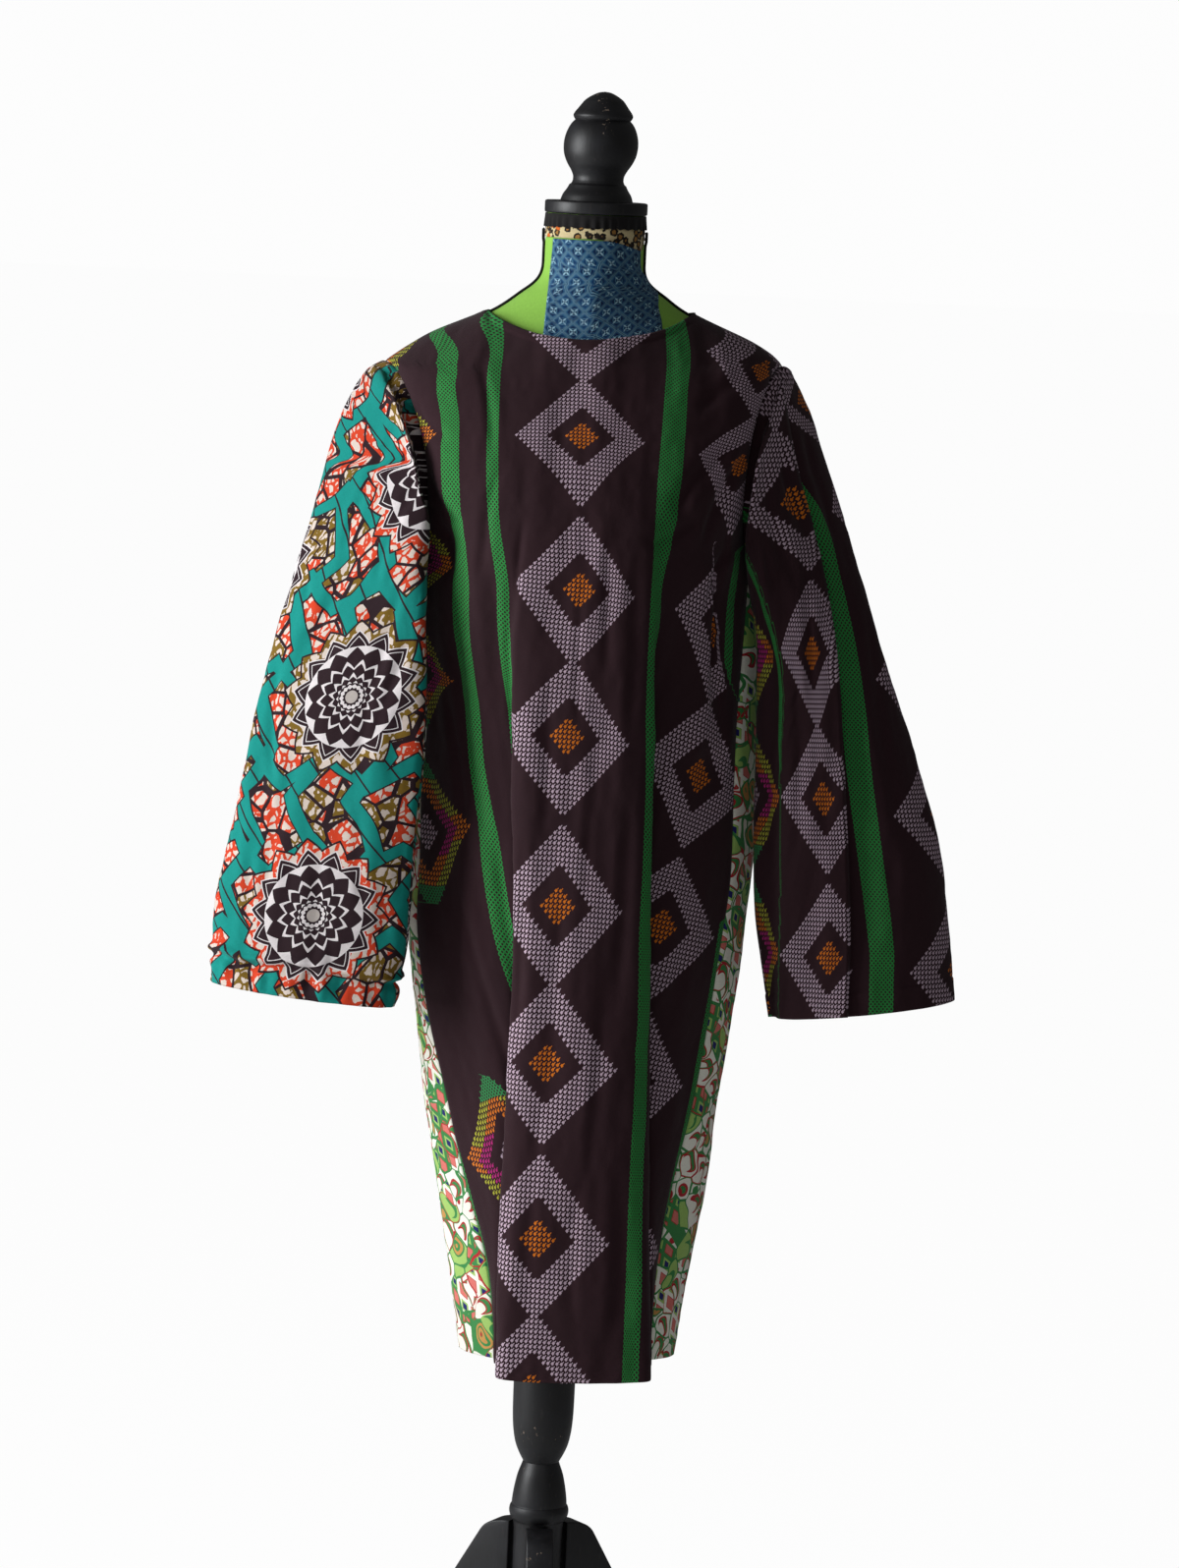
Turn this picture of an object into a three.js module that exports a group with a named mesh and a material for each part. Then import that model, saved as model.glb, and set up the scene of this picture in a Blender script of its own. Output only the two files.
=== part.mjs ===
// A loose cotton dress, patched together from three prints, on a dress form with a turned finial
// and a tripod stand. Millimetres, +Z up, -Y is the front. Everything is laid out from the stand's
// axis, and the whole group is then moved so that the middle of its footprint is the origin.
import * as THREE from 'three';

// ---------------------------------------------------------------- driving sizes
const WALL = 1.6; // thickness of every cloth wall
const SEAM = 0.3; // gap between two pieces that are sewn together
const REST_GAP = 0.3; // gap between two hard pieces that rest on each other
const UNDERARM_Z = 1206; // where the side panels begin
const HEM_Z = 413; // lowest point of the front hem
const FORM_DROP = 3.6; // the form's shoulders lie this far below the middle of the cloth
const FORM_INSET = 4.5; // and this far in from it
const YOKE_INSET = 7; // and the form's chest lies this far behind it
const ARM_CAP = 16; // the form's shoulders end this far inside the shoulder tips
const PLEAT_ROOM = 58; // how far a section's round corner lies beyond the edge of its first pleat
const RIDGE_SPLIT = 0.5; // half the distance between the front and back edges on the shoulder
const GUSSET_DROP = 5; // a side panel begins this far below the underarm
const HEAD_START = 4; // a sleeve's first ring stands this far outside the armhole
const HEAD_STEP = 10; // and its second ring this far
const SEAM_MERGE = 14; // a panel's edge leaves its side seam for the armhole over this height
const EVEN_WIDTHS = { fromZ: 1240, over: 90 }; // a panel's columns turn here from even lengths to even widths
const FORM_SHOULDER = { fromZ: 1330, over: 45 }; // the form takes the yoke's shape over this height

// Armholes: rings in which top and bottom lie on the shoulder tip and the underarm.
const ARMHOLES = {
  left: { middle: [-183, 0, 1292], toTip: [-15, 0, 91], toFront: [31, -70, 0], toBack: [16, 62, 0] },
  right: { middle: [177, 0, 1299], toTip: [10, 0, 96], toFront: [-22, -66, 0], toBack: [-14, 62, 0] },
};

// The dress below the arms, a row for each height: the seams of the front panel (frontL, frontR),
// the widest points of the side panels (sideL, sideR), the seams of the back panel (backL, backR),
// how far the side seams lie before and behind the axis (seamF, seamB), the depths of the front
// and back, where they are deepest (crest), and where the middle of the front print hangs (grain).
const BODY = [
  { z: 400, frontL: -46, frontR: 101, sideL: -82, sideR: 123, backL: -70, backR: 110, seamF: 58, seamB: 50, front: 131, back: 96, crest: 26, grain: -13 },
  { z: 510, frontL: -61, frontR: 104, sideL: -101, sideR: 137, backL: -87, backR: 120, seamF: 56, seamB: 50, front: 133, back: 102, crest: 24, grain: -12 },
  { z: 600, frontL: -88, frontR: 117, sideL: -117, sideR: 147, backL: -103, backR: 130, seamF: 54, seamB: 50, front: 135, back: 108, crest: 20, grain: -12 },
  { z: 680, frontL: -109, frontR: 133, sideL: -131, sideR: 150, backL: -118, backR: 138, seamF: 53, seamB: 50, front: 136, back: 114, crest: 16, grain: -11 },
  { z: 760, frontL: -130, frontR: 144, sideL: -140, sideR: 159, backL: -131, backR: 148, seamF: 52, seamB: 50, front: 137, back: 120, crest: 13, grain: -10 },
  { z: 840, frontL: -143, frontR: 153, sideL: -149, sideR: 170, backL: -142, backR: 158, seamF: 51, seamB: 50, front: 138, back: 124, crest: 10, grain: -10 },
  { z: 900, frontL: -143, frontR: 159, sideL: -151, sideR: 173, backL: -144, backR: 162, seamF: 49, seamB: 48, front: 138, back: 122, crest: 8, grain: -9 },
  { z: 980, frontL: -145, frontR: 158, sideL: -151, sideR: 168, backL: -146, backR: 159, seamF: 46, seamB: 45, front: 139, back: 113, crest: 6, grain: -8 },
  { z: 1060, frontL: -148, frontR: 158, sideL: -154, sideR: 165, backL: -149, backR: 158, seamF: 42, seamB: 42, front: 140, back: 106, crest: 4, grain: -8 },
  { z: 1140, frontL: -155, frontR: 161, sideL: -162, sideR: 167, backL: -156, backR: 160, seamF: 35, seamB: 35, front: 141, back: 105, crest: 2, grain: -7 },
  { z: 1206, frontL: -160, frontR: 163, sideL: -168, sideR: 168, backL: -165, backR: 163, seamF: 27, seamB: 27, front: 141, back: 106, crest: 1, grain: -6 },
];

// The dress above the underarms: depths of the front and back, and how square its sections are.
const YOKE = [
  { z: 1206, front: 141, back: 106, square: 2.4 },
  { z: 1240, front: 139, back: 106, square: 2.4 },
  { z: 1280, front: 132, back: 106, square: 2.4 },
  { z: 1320, front: 121, back: 104, square: 2.35 },
  { z: 1350, front: 111, back: 99, square: 2.3 },
  { z: 1383, front: 98, back: 90, square: 2.0 },
  { z: 1400, front: 89, back: 83, square: 1.75 },
  { z: 1414, front: 81, back: 76, square: 1.5 },
  { z: 1428, front: 74, back: 69, square: 1.35 },
  { z: 1455, front: 62, back: 58, square: 1.4 },
  { z: 1472, front: 55, back: 53, square: 1.7 },
  { z: 1491, front: 51, back: 51, square: 2 },
];

// The shoulder ridges, from the tip inwards and on up the neck, and the neckline's two halves.
const SHOULDERS = {
  left: [{ x: 198, z: 1383 }, { x: 177, z: 1398 }, { x: 153, z: 1413 }, { x: 103, z: 1436 }, { x: 79, z: 1452 }, { x: 62, z: 1468 }, { x: 51, z: 1491 }],
  right: [{ x: 187, z: 1395 }, { x: 176, z: 1405 }, { x: 155, z: 1417 }, { x: 99, z: 1441 }, { x: 77, z: 1455 }, { x: 61, z: 1470 }, { x: 51, z: 1491 }],
};
const NECK_FRONT = [{ x: -103, z: 1436 }, { x: -77, z: 1425 }, { x: -48, z: 1417 }, { x: -1, z: 1414 }, { x: 46, z: 1420 }, { x: 74, z: 1428 }, { x: 99, z: 1441 }];
const NECK_BACK = [{ x: -103, z: 1436 }, { x: -77, z: 1430 }, { x: -40, z: 1426 }, { x: 0, z: 1425 }, { x: 40, z: 1428 }, { x: 74, z: 1434 }, { x: 99, z: 1441 }];

// Hems, from the left seam to the right one.
const HEM_FRONT = [{ at: 0, z: 419 }, { at: 0.3, z: 416 }, { at: 0.5, z: HEM_Z }, { at: 0.75, z: 418 }, { at: 1, z: 424 }];
const HEM_LEVEL = 415; // the side panels and the back end here

// Long soft pleats, a row for each height: x is the edge that overhangs, tuck is how far the cloth
// goes in behind that edge, depth is how far it falls back there, and open fades the pleat in.
const FRONT_PLEATS = {
  left: [
    [
      { z: 400, x: -44, tuck: 68, depth: 44, open: 1 },
      { z: 510, x: -47, tuck: 62, depth: 42, open: 1 },
      { z: 600, x: -48, tuck: 50, depth: 38, open: 1 },
      { z: 690, x: -49, tuck: 36, depth: 34, open: 1 },
      { z: 760, x: -49, tuck: 27, depth: 29, open: 1 },
      { z: 840, x: -50, tuck: 18, depth: 24, open: 1 },
      { z: 940, x: -53, tuck: 12, depth: 21, open: 1 },
      { z: 1060, x: -58, tuck: 5, depth: 19, open: 0.8 },
      { z: 1140, x: -59, tuck: 2, depth: 16, open: 0.45 },
      { z: 1215, x: -60, tuck: 0, depth: 12, open: 0.15 },
      { z: 1290, x: -60, tuck: 0, depth: 10, open: 0 },
    ],
  ],
  right: [
    [
      { z: 400, x: 100, tuck: 56, depth: 44, open: 1 },
      { z: 510, x: 96, tuck: 54, depth: 42, open: 1 },
      { z: 600, x: 92, tuck: 50, depth: 38, open: 1 },
      { z: 690, x: 89, tuck: 44, depth: 34, open: 1 },
      { z: 760, x: 86, tuck: 40, depth: 29, open: 1 },
      { z: 840, x: 82, tuck: 33, depth: 25, open: 1 },
      { z: 940, x: 78, tuck: 26, depth: 22, open: 1 },
      { z: 1060, x: 76, tuck: 14, depth: 20, open: 1 },
      { z: 1140, x: 73, tuck: 5, depth: 18, open: 0.7 },
      { z: 1215, x: 71, tuck: 0, depth: 14, open: 0.3 },
      { z: 1290, x: 71, tuck: 0, depth: 10, open: 0 },
    ],
    [
      { z: 1020, x: 128, tuck: 0, depth: 8, open: 0 },
      { z: 1070, x: 128, tuck: 2, depth: 12, open: 0.5 },
      { z: 1130, x: 129, tuck: 6, depth: 14, open: 0.9 },
      { z: 1190, x: 128, tuck: 4, depth: 13, open: 0.8 },
      { z: 1250, x: 124, tuck: 0, depth: 10, open: 0 },
    ],
  ],
};
const BACK_PLEATS = {
  left: [
    [
      { z: 400, x: -52, tuck: 44, depth: 34, open: 1 },
      { z: 600, x: -58, tuck: 30, depth: 30, open: 1 },
      { z: 760, x: -64, tuck: 14, depth: 24, open: 1 },
      { z: 900, x: -68, tuck: 2, depth: 14, open: 0.5 },
      { z: 1020, x: -70, tuck: 0, depth: 10, open: 0 },
    ],
  ],
  right: [
    [
      { z: 400, x: 70, tuck: 40, depth: 34, open: 1 },
      { z: 600, x: 74, tuck: 34, depth: 30, open: 1 },
      { z: 760, x: 76, tuck: 18, depth: 26, open: 1 },
      { z: 900, x: 74, tuck: 6, depth: 15, open: 0.7 },
      { z: 1060, x: 70, tuck: 0, depth: 12, open: 0.2 },
      { z: 1120, x: 70, tuck: 0, depth: 10, open: 0 },
    ],
  ],
};

// Sleeves, a row for each ring after the armhole: the outer and inner edges, and how far in x and
// y the cloth stands before and behind the line between them.
const SLEEVES = {
  left: [
    { outer: [-212, -2, 1374], inner: [-172, -22, 1188], front: [32, -88], back: [8, 60] },
    { outer: [-229, -6, 1348], inner: [-170, -55, 1168], front: [46, -74], back: [-2, 56] },
    { outer: [-243, -12, 1308], inner: [-156, -88, 1146], front: [32, -58], back: [-6, 48] },
    { outer: [-256, -20, 1255], inner: [-145, -108, 1112], front: [14, -40], back: [-4, 40] },
    { outer: [-272, -28, 1195], inner: [-141, -114, 1070], front: [2, -31], back: [2, 32] },
    { outer: [-289, -34, 1125], inner: [-141, -115, 1022], front: [-8, -26], back: [8, 27] },
    { outer: [-302, -38, 1055], inner: [-144, -114, 972], front: [-12, -25], back: [12, 25] },
    { outer: [-314, -40, 985], inner: [-147, -111, 922], front: [-13, -26], back: [12, 25] },
    { outer: [-326, -42, 915], inner: [-149, -108, 870], front: [-13, -28], back: [12, 26] },
    { outer: [-337, -42, 850], inner: [-151, -104, 822], front: [-12, -30], back: [11, 28] },
    { outer: [-338, -42, 812], inner: [-157, -101, 793], front: [-12, -32], back: [11, 29] },
    { outer: [-339, -42, 778], inner: [-162, -98, 768], front: [-12, -33], back: [11, 30] },
  ],
  right: [
    { outer: [199, -2, 1383], inner: [172, -14, 1190], front: [-24, -80], back: [-6, 60] },
    { outer: [215, -4, 1354], inner: [176, -32, 1172], front: [-30, -68], back: [4, 56] },
    { outer: [229, -8, 1316], inner: [176, -50, 1148], front: [-22, -53], back: [6, 48] },
    { outer: [247, -14, 1266], inner: [175, -60, 1112], front: [-10, -40], back: [6, 41] },
    { outer: [267, -20, 1208], inner: [175, -64, 1066], front: [2, -33], back: [2, 36] },
    { outer: [290, -24, 1142], inner: [177, -65, 1016], front: [9, -30], back: [-6, 33] },
    { outer: [312, -27, 1080], inner: [178, -65, 966], front: [10, -31], back: [-9, 32] },
    { outer: [336, -29, 1014], inner: [180, -65, 914], front: [10, -33], back: [-9, 32] },
    { outer: [357, -30, 948], inner: [184, -65, 866], front: [10, -35], back: [-9, 33] },
    { outer: [370, -30, 880], inner: [191, -64, 826], front: [10, -37], back: [-9, 34] },
    { outer: [377, -30, 830], inner: [197, -63, 794], front: [10, -38], back: [-9, 35] },
    { outer: [381, -30, 789], inner: [202, -62, 768], front: [10, -40], back: [-9, 36] },
  ],
};
// The right sleeve's long fold: the strip before it overlaps the strip behind it.
const SLEEVE_FOLD = { from: 4, angle: 1.15, width: 0.34, depth: 9 };

// The form's body under the dress: half widths, depths, and where its middle lies.
const FORM = [
  { z: 836, half: 138, front: 92, back: 90, middle: 12, square: 2.2 },
  { z: 844, half: 147, front: 101, back: 98, middle: 12, square: 2.2 },
  { z: 870, half: 150, front: 104, back: 103, middle: 11, square: 2.2 },
  { z: 920, half: 148, front: 104, back: 102, middle: 10, square: 2.2 },
  { z: 980, half: 133, front: 99, back: 88, middle: 8, square: 2.15 },
  { z: 1060, half: 116, front: 90, back: 71, middle: 6, square: 2.1 },
  { z: 1140, half: 131, front: 107, back: 78, middle: 4, square: 2.1 },
  { z: 1215, half: 148, front: 126, back: 90, middle: 1, square: 2.15 },
  { z: 1280, half: 150, front: 119, back: 96, middle: -1, square: 2.15 },
  { z: 1330, half: 160, front: 107, back: 92, middle: -3, square: 2.1 },
];
const NECK = { radius: 47.5, rootZ: 1452, flareZ: 1487, topZ: 1508, collarRadius: 46.3, collarTopZ: 1531.7 };

const NECK_PANEL = {
  topZ: 1507.5, bottomZ: 1398, rows: 11, across: 9, thickness: 1, lift: 1.3,
  edges: [
    { z: 1398, left: -46, right: 64 }, { z: 1430, left: -44, right: 58 }, { z: 1470, left: -41, right: 50 },
    { z: 1487, left: -40, right: 45 }, { z: 1508, left: -39, right: 44 },
  ],
};
const PIPING = { radius: 1.4, lift: 0.9, steps: 14, endZ: { left: 1431, right: 1436 } };

// Turned pieces, rows from the top down.
const FINIAL = [
  { z: 1649, r: 0 }, { z: 1648.3, r: 7 }, { z: 1645.5, r: 14 }, { z: 1640, r: 21.5 }, { z: 1633, r: 27 },
  { z: 1628, r: 29.6 }, { z: 1625, r: 30.6 }, { z: 1622, r: 30.2 }, { z: 1620, r: 28.9 }, { z: 1618, r: 30.6 },
  { z: 1612, r: 33.6 }, { z: 1604, r: 35.6 }, { z: 1596, r: 36.2 }, { z: 1588, r: 35.2 }, { z: 1580, r: 31.8 },
  { z: 1573, r: 27.2 }, { z: 1568, r: 25.2 }, { z: 1564, r: 25 }, { z: 1561, r: 25.8 }, { z: 1559.5, r: 27.6 },
  { z: 1556, r: 29.2 }, { z: 1550, r: 33 }, { z: 1544.3, r: 35 }, { z: 1544.3, r: 0 },
];
const CAP = { radius: 49.5, bottomZ: 1532, topZ: 1544, round: 1.6 };
const BANDS = [
  { name: 'neck_print_band', bottomZ: 1508.3, topZ: 1519.8, outer: 48 },
  { name: 'neck_black_band', bottomZ: 1520.1, topZ: 1531.7, outer: 48.8 },
];
const POLE = [
  { z: 835.7, r: 0 }, { z: 835.7, r: 29 }, { z: 600, r: 29.6 }, { z: 420, r: 30.2 }, { z: 375, r: 30.3 },
  { z: 350, r: 29.8 }, { z: 336, r: 28.6 }, { z: 323, r: 26 }, { z: 314, r: 22.4 }, { z: 305.3, r: 17.8 },
  { z: 305.3, r: 0 },
];
const HUB = [
  { z: 305, r: 0 }, { z: 305, r: 17.8 }, { z: 301, r: 19.2 }, { z: 292, r: 22.4 }, { z: 278, r: 25.4 },
  { z: 266, r: 27 }, { z: 262, r: 27.2 }, { z: 260.5, r: 28.4 }, { z: 256, r: 29.4 }, { z: 251, r: 28.6 },
  { z: 247, r: 26.8 }, { z: 245.2, r: 25 }, { z: 236, r: 24 }, { z: 118, r: 24 }, { z: 112, r: 22 },
  { z: 112, r: 0 },
];
const LEG = {
  thickness: 27, start: 25.6, topZ: 243, shoulder: [58, 230], knee: [160, 60], toe: [246, 20], toeEnd: 252,
  heel: 206, instep: [118, 60], rootZ: 132, angles: { front: -90, right: 30, left: 150 }, turn: 3,
};
const SPLITS = { finial: 28, pole: 28, form: 40, ring: 24 };
const ROWS = { upper: 8, lower: 12 }; // of the dress's pieces, above and below the underarm

// ---------------------------------------------------------------- colours and finishes
const FINISH = {
  plum: { color: 0x33191f, roughness: 0.85 },
  wax: { color: 0x1c8f86, roughness: 0.85 },
  lime: { color: 0x86b048, roughness: 0.85 },
  leaf: { color: 0xa9c48c, roughness: 0.85 },
  blue: { color: 0x3f6f96, roughness: 0.85 },
  sand: { color: 0xb3a070, roughness: 0.85 },
  ruffle: { color: 0x141212, roughness: 0.9 },
  lacquer: { color: 0x151414, roughness: 0.35 },
};

// ---------------------------------------------------------------- helpers
const mix = (a, b, t) => a + (b - a) * t;
const clamp = (t, low = 0, high = 1) => Math.min(high, Math.max(low, t));
const ease = t => t * t * (3 - 2 * t);

/** A smooth curve through one column of a table, level beyond its ends. */
function follow(rows, column, along = 'z') {
  const at = rows.map(row => row[along]);
  const value = rows.map(row => row[column]);
  const last = at.length - 1;
  const slope = at.map((_, i) => {
    const a = Math.max(i - 1, 0);
    const b = Math.min(i + 1, last);
    return (value[b] - value[a]) / (at[b] - at[a]);
  });
  return t => {
    if (t <= at[0]) return value[0];
    if (t >= at[last]) return value[last];
    const i = at.findIndex(a => a > t) - 1;
    const gap = at[i + 1] - at[i];
    const f = (t - at[i]) / gap;
    return mix(value[i], value[i + 1], ease(f))
      + gap * f * (1 - f) * ((1 - f) * slope[i] - f * slope[i + 1]);
  };
}
const columns = rows => Object.fromEntries(Object.keys(rows[0]).map(key => [key, follow(rows, key)]));

/** A closed mesh with its faces pointing out, from points and triangles. */
function solid(points, triangles) {
  let volume = 0;
  for (const [a, b, c] of triangles) {
    volume += new THREE.Vector3().crossVectors(points[a], points[b]).dot(points[c]);
  }
  const faces = volume < 0 ? triangles.map(([a, b, c]) => [a, c, b]) : triangles;
  const geometry = new THREE.BufferGeometry();
  geometry.setAttribute('position', new THREE.Float32BufferAttribute(points.flatMap(p => [p.x, p.y, p.z]), 3));
  geometry.setIndex(faces.flat());
  geometry.computeVertexNormals();
  return geometry;
}

/** A cloth wall on a grid of points, rows by columns; round joins each row's ends. */
function cloth(grid, round = false, thickness = WALL) {
  const rows = grid.length;
  const across = grid[0].length;
  const at = (i, j) => grid[clamp(i, 0, rows - 1)][round ? (j + across) % across : clamp(j, 0, across - 1)];
  const points = [];
  for (const side of [0.5, -0.5]) {
    for (let i = 0; i < rows; i++) {
      for (let j = 0; j < across; j++) {
        const down = at(i + 1, j).clone().sub(at(i - 1, j));
        const along = at(i, j + 1).clone().sub(at(i, j - 1));
        const normal = along.cross(down).normalize();
        points.push(at(i, j).clone().addScaledVector(normal, side * thickness));
      }
    }
  }
  const id = (layer, i, j) => (layer * rows + i) * across + (j % across);
  const triangles = [];
  const quad = (a, b, c, d) => triangles.push([a, b, c], [a, c, d]);
  for (let j = 0; j < (round ? across : across - 1); j++) {
    for (let i = 0; i < rows - 1; i++) {
      quad(id(0, i, j), id(0, i + 1, j), id(0, i + 1, j + 1), id(0, i, j + 1));
      quad(id(1, i, j), id(1, i, j + 1), id(1, i + 1, j + 1), id(1, i + 1, j));
    }
    quad(id(0, 0, j), id(0, 0, j + 1), id(1, 0, j + 1), id(1, 0, j));
    quad(id(0, rows - 1, j), id(1, rows - 1, j), id(1, rows - 1, j + 1), id(0, rows - 1, j + 1));
  }
  if (!round) {
    for (let i = 0; i < rows - 1; i++) {
      quad(id(0, i, 0), id(1, i, 0), id(1, i + 1, 0), id(0, i + 1, 0));
      quad(id(0, i, across - 1), id(0, i + 1, across - 1), id(1, i + 1, across - 1), id(1, i, across - 1));
    }
  }
  return solid(points, triangles);
}

// ---------------------------------------------------------------- the dress's sections
const body = columns(BODY);
const yoke = columns(YOKE);
const form = columns(FORM);
const ridgeWidth = {
  left: follow(SHOULDERS.left, 'x'),
  right: follow(SHOULDERS.right, 'x'),
};
const ridgeHeight = {
  left: follow([...SHOULDERS.left].reverse(), 'z', 'x'),
  right: follow([...SHOULDERS.right].reverse(), 'z', 'x'),
};
const neckFront = follow(NECK_FRONT, 'z', 'x');
const neckBack = follow(NECK_BACK, 'z', 'x');
const hemFront = follow(HEM_FRONT, 'z', 'at');

/** A point of an armhole: 0 is the shoulder tip, a quarter turn the front, a half turn the underarm. */
function armholePoint(side, angle) {
  const { middle, toTip, toFront, toBack } = ARMHOLES[side];
  const across = Math.sin(angle) >= 0 ? toFront : toBack;
  const part = k => middle[k] + toTip[k] * Math.cos(angle) + across[k] * Math.abs(Math.sin(angle));
  return new THREE.Vector3(part(0), part(1), part(2));
}

/** Where a front or back panel ends at one height: on its side seam, the armhole or the shoulder. */
function panelEnd(side, face, z) {
  const { middle, toTip } = ARMHOLES[side];
  const outward = side === 'left' ? -1 : 1;
  if (z >= middle[2] + toTip[2]) return [outward * ridgeWidth[side](z), face * RIDGE_SPLIT];
  if (z > UNDERARM_Z) {
    const angle = Math.acos(clamp((z - middle[2]) / toTip[2], -1, 1));
    const ring = armholePoint(side, face < 0 ? angle : -angle);
    const merge = ease(clamp((z - UNDERARM_Z) / SEAM_MERGE));
    const seam = seamPoint(side, face, UNDERARM_Z);
    const depth = Math.max(Math.abs(ring.y), RIDGE_SPLIT);
    return [mix(seam[0], ring.x, merge), face * Math.max(mix(Math.abs(seam[1]), depth, merge), RIDGE_SPLIT)];
  }
  return seamPoint(side, face, z);
}
function seamPoint(side, face, z) {
  const column = (face < 0 ? 'front' : 'back') + (side === 'left' ? 'L' : 'R');
  return [body[column](z), face < 0 ? -body.seamF(z) : body.seamB(z)];
}

/** Depth of the front (face -1) or back (face 1) at the middle of the dress. */
function depthAt(face, z) {
  const source = z > UNDERARM_Z ? yoke : body;
  return face * source[face < 0 ? 'front' : 'back'](z);
}

/** The cloth's y at x, without its pleats. */
function plainY(face, x, z) {
  const crest = body.crest(z);
  const side = x < crest ? 'left' : 'right';
  const [endX, endY] = panelEnd(side, face, z);
  const edge = PLEATS[face][side][0].x(z);
  const reach = z > UNDERARM_Z ? Math.abs(endX - crest) : Math.max(Math.abs(endX - crest), Math.abs(edge - crest) + PLEAT_ROOM);
  const share = clamp(Math.abs(x - crest) / reach);
  return mix(endY, depthAt(face, z), Math.sqrt(1 - share ** yoke.square(Math.max(z, UNDERARM_Z))));
}

const pleatTracks = pleats => Object.fromEntries(
  Object.entries(pleats).map(([side, list]) => [side, list.map(columns)]),
);
// One pleat's turns: steps out along the plain cloth while it is closed, and once it is open the
// shares of its tuck and of its depth.
const PLEAT_TURNS = [
  [0, 0, 0.3], [0.7, 0.3, 0.5], [1.6, 0.8, 0.62], [2.2, 1, 0.76], [2.8, 0.8, 0.9], [3.6, 0.3, 1], [4.4, -0.06, 1.03],
];
const PLEATS = { '-1': pleatTracks(FRONT_PLEATS), 1: pleatTracks(BACK_PLEATS) };

/** The points from the middle of a panel to one of its edges at one height. */
function halfSection(side, face, z) {
  const outward = side === 'left' ? -1 : 1;
  const [endX, endY] = panelEnd(side, face, z);
  const points = [];
  const put = (x, y) => points.push([x, y]);
  let setBack = 0;
  let from = body.grain(z);
  for (const pleat of PLEATS[face][side]) {
    const edge = pleat.x(z);
    const tuck = pleat.tuck(z);
    const depth = pleat.depth(z);
    const open = clamp(pleat.open(z));
    if (open < 0.02) continue;
    const plain = x => plainY(face, x, z) - face * setBack;
    const start = plain(edge);
    const step = Math.min(7, Math.abs(endX - edge) / 7);
    if (Math.abs(edge - from) > 60) put(mix(from, edge, 0.4), plain(mix(from, edge, 0.4)));
    put(edge - outward * 2 * step, plain(edge - outward * 2 * step));
    for (const [steps, inward, back] of PLEAT_TURNS) {
      const flatX = edge + outward * step * steps;
      const foldX = edge - outward * tuck * inward;
      put(mix(flatX, foldX, open), mix(plain(flatX), start - face * depth * back, open));
    }
    setBack += depth * open;
    from = points[points.length - 1][0];
  }
  const leave = points.length ? points[points.length - 1][1] : depthAt(face, z);
  for (const share of [0.22, 0.45, 0.66, 0.84, 0.95]) {
    const x = mix(from, endX, share);
    put(x, mix(plainY(face, x, z), mix(leave, endY, share ** 1.4), clamp(setBack / 20)));
  }
  put(endX, endY);
  return points;
}

/** A smooth line through plan points, with its length measured from the start. */
function measured(points) {
  const curve = new THREE.CatmullRomCurve3(points.map(([x, y]) => new THREE.Vector3(x, y, 0)), false, 'centripetal');
  const fine = curve.getPoints(points.length * 10);
  const length = [0];
  for (let i = 1; i < fine.length; i++) length.push(length[i - 1] + fine[i].distanceTo(fine[i - 1]));
  return { fine, length, total: length[length.length - 1] };
}
function along({ fine, length, total }, distance) {
  const d = clamp(distance, 0, total);
  const i = Math.max(1, length.findIndex(l => l >= d));
  return fine[i - 1].clone().lerp(fine[i], (d - length[i - 1]) / (length[i] - length[i - 1]));
}

const sectionCache = new Map();
/** Half of a front or back panel's section as a measured line, from its middle to its edge. */
function sectionLine(side, face, z) {
  const key = `${side}${face}${z.toFixed(2)}`;
  if (!sectionCache.has(key)) {
    const points = [[body.grain(z), plainY(face, body.grain(z), z)], ...halfSection(side, face, z)];
    sectionCache.set(key, measured(points));
  }
  return sectionCache.get(key);
}

/** A side panel's section, from the front seam round to the back seam. */
function sideLine(side, z) {
  const [fx, fy] = seamPoint(side, -1, z);
  const [bx, by] = seamPoint(side, 1, z);
  const wide = body[side === 'left' ? 'sideL' : 'sideR'](z);
  return measured([[fx, fy], [mix(fx, wide, 0.72), fy * 0.5], [wide, 0], [mix(bx, wide, 0.72), by * 0.5], [bx, by]]);
}

/** How much each piece ends short of a side seam, so that the walls clear each other where they turn. */
function seamTrim(side, face, z) {
  const panel = sectionLine(side, face, z).fine;
  const other = sideLine(side, z).fine;
  const ahead = panel[panel.length - 1].clone().sub(panel[panel.length - 5]);
  const next = face < 0 ? other[4].clone().sub(other[0]) : other[other.length - 5].clone().sub(other[other.length - 1]);
  const turn = Math.min(ahead.angleTo(next), 2);
  return SEAM / 2 + WALL / 2 * Math.tan(turn / 2);
}

/** A point of the front or back panel: share runs from -1, its left edge, to 1, its right edge. */
function panelPoint(face, share, z) {
  const side = share < 0 ? 'left' : 'right';
  const line = sectionLine(side, face, z);
  const trim = z > UNDERARM_Z ? SEAM / 2 : seamTrim(side, face, z);
  const low = along(line, Math.abs(share) * (line.total - trim));
  low.z = z;
  const { middle, toTip } = ARMHOLES[side];
  const [endX] = panelEnd(side, face, Math.min(z, middle[2] + toTip[2] - 0.01));
  const x = mix(body.grain(z), endX, Math.abs(share));
  const high = new THREE.Vector3(x, plainY(face, x, z), z);
  return low.lerp(high, ease(clamp((z - EVEN_WIDTHS.fromZ) / EVEN_WIDTHS.over)));
}

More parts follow.
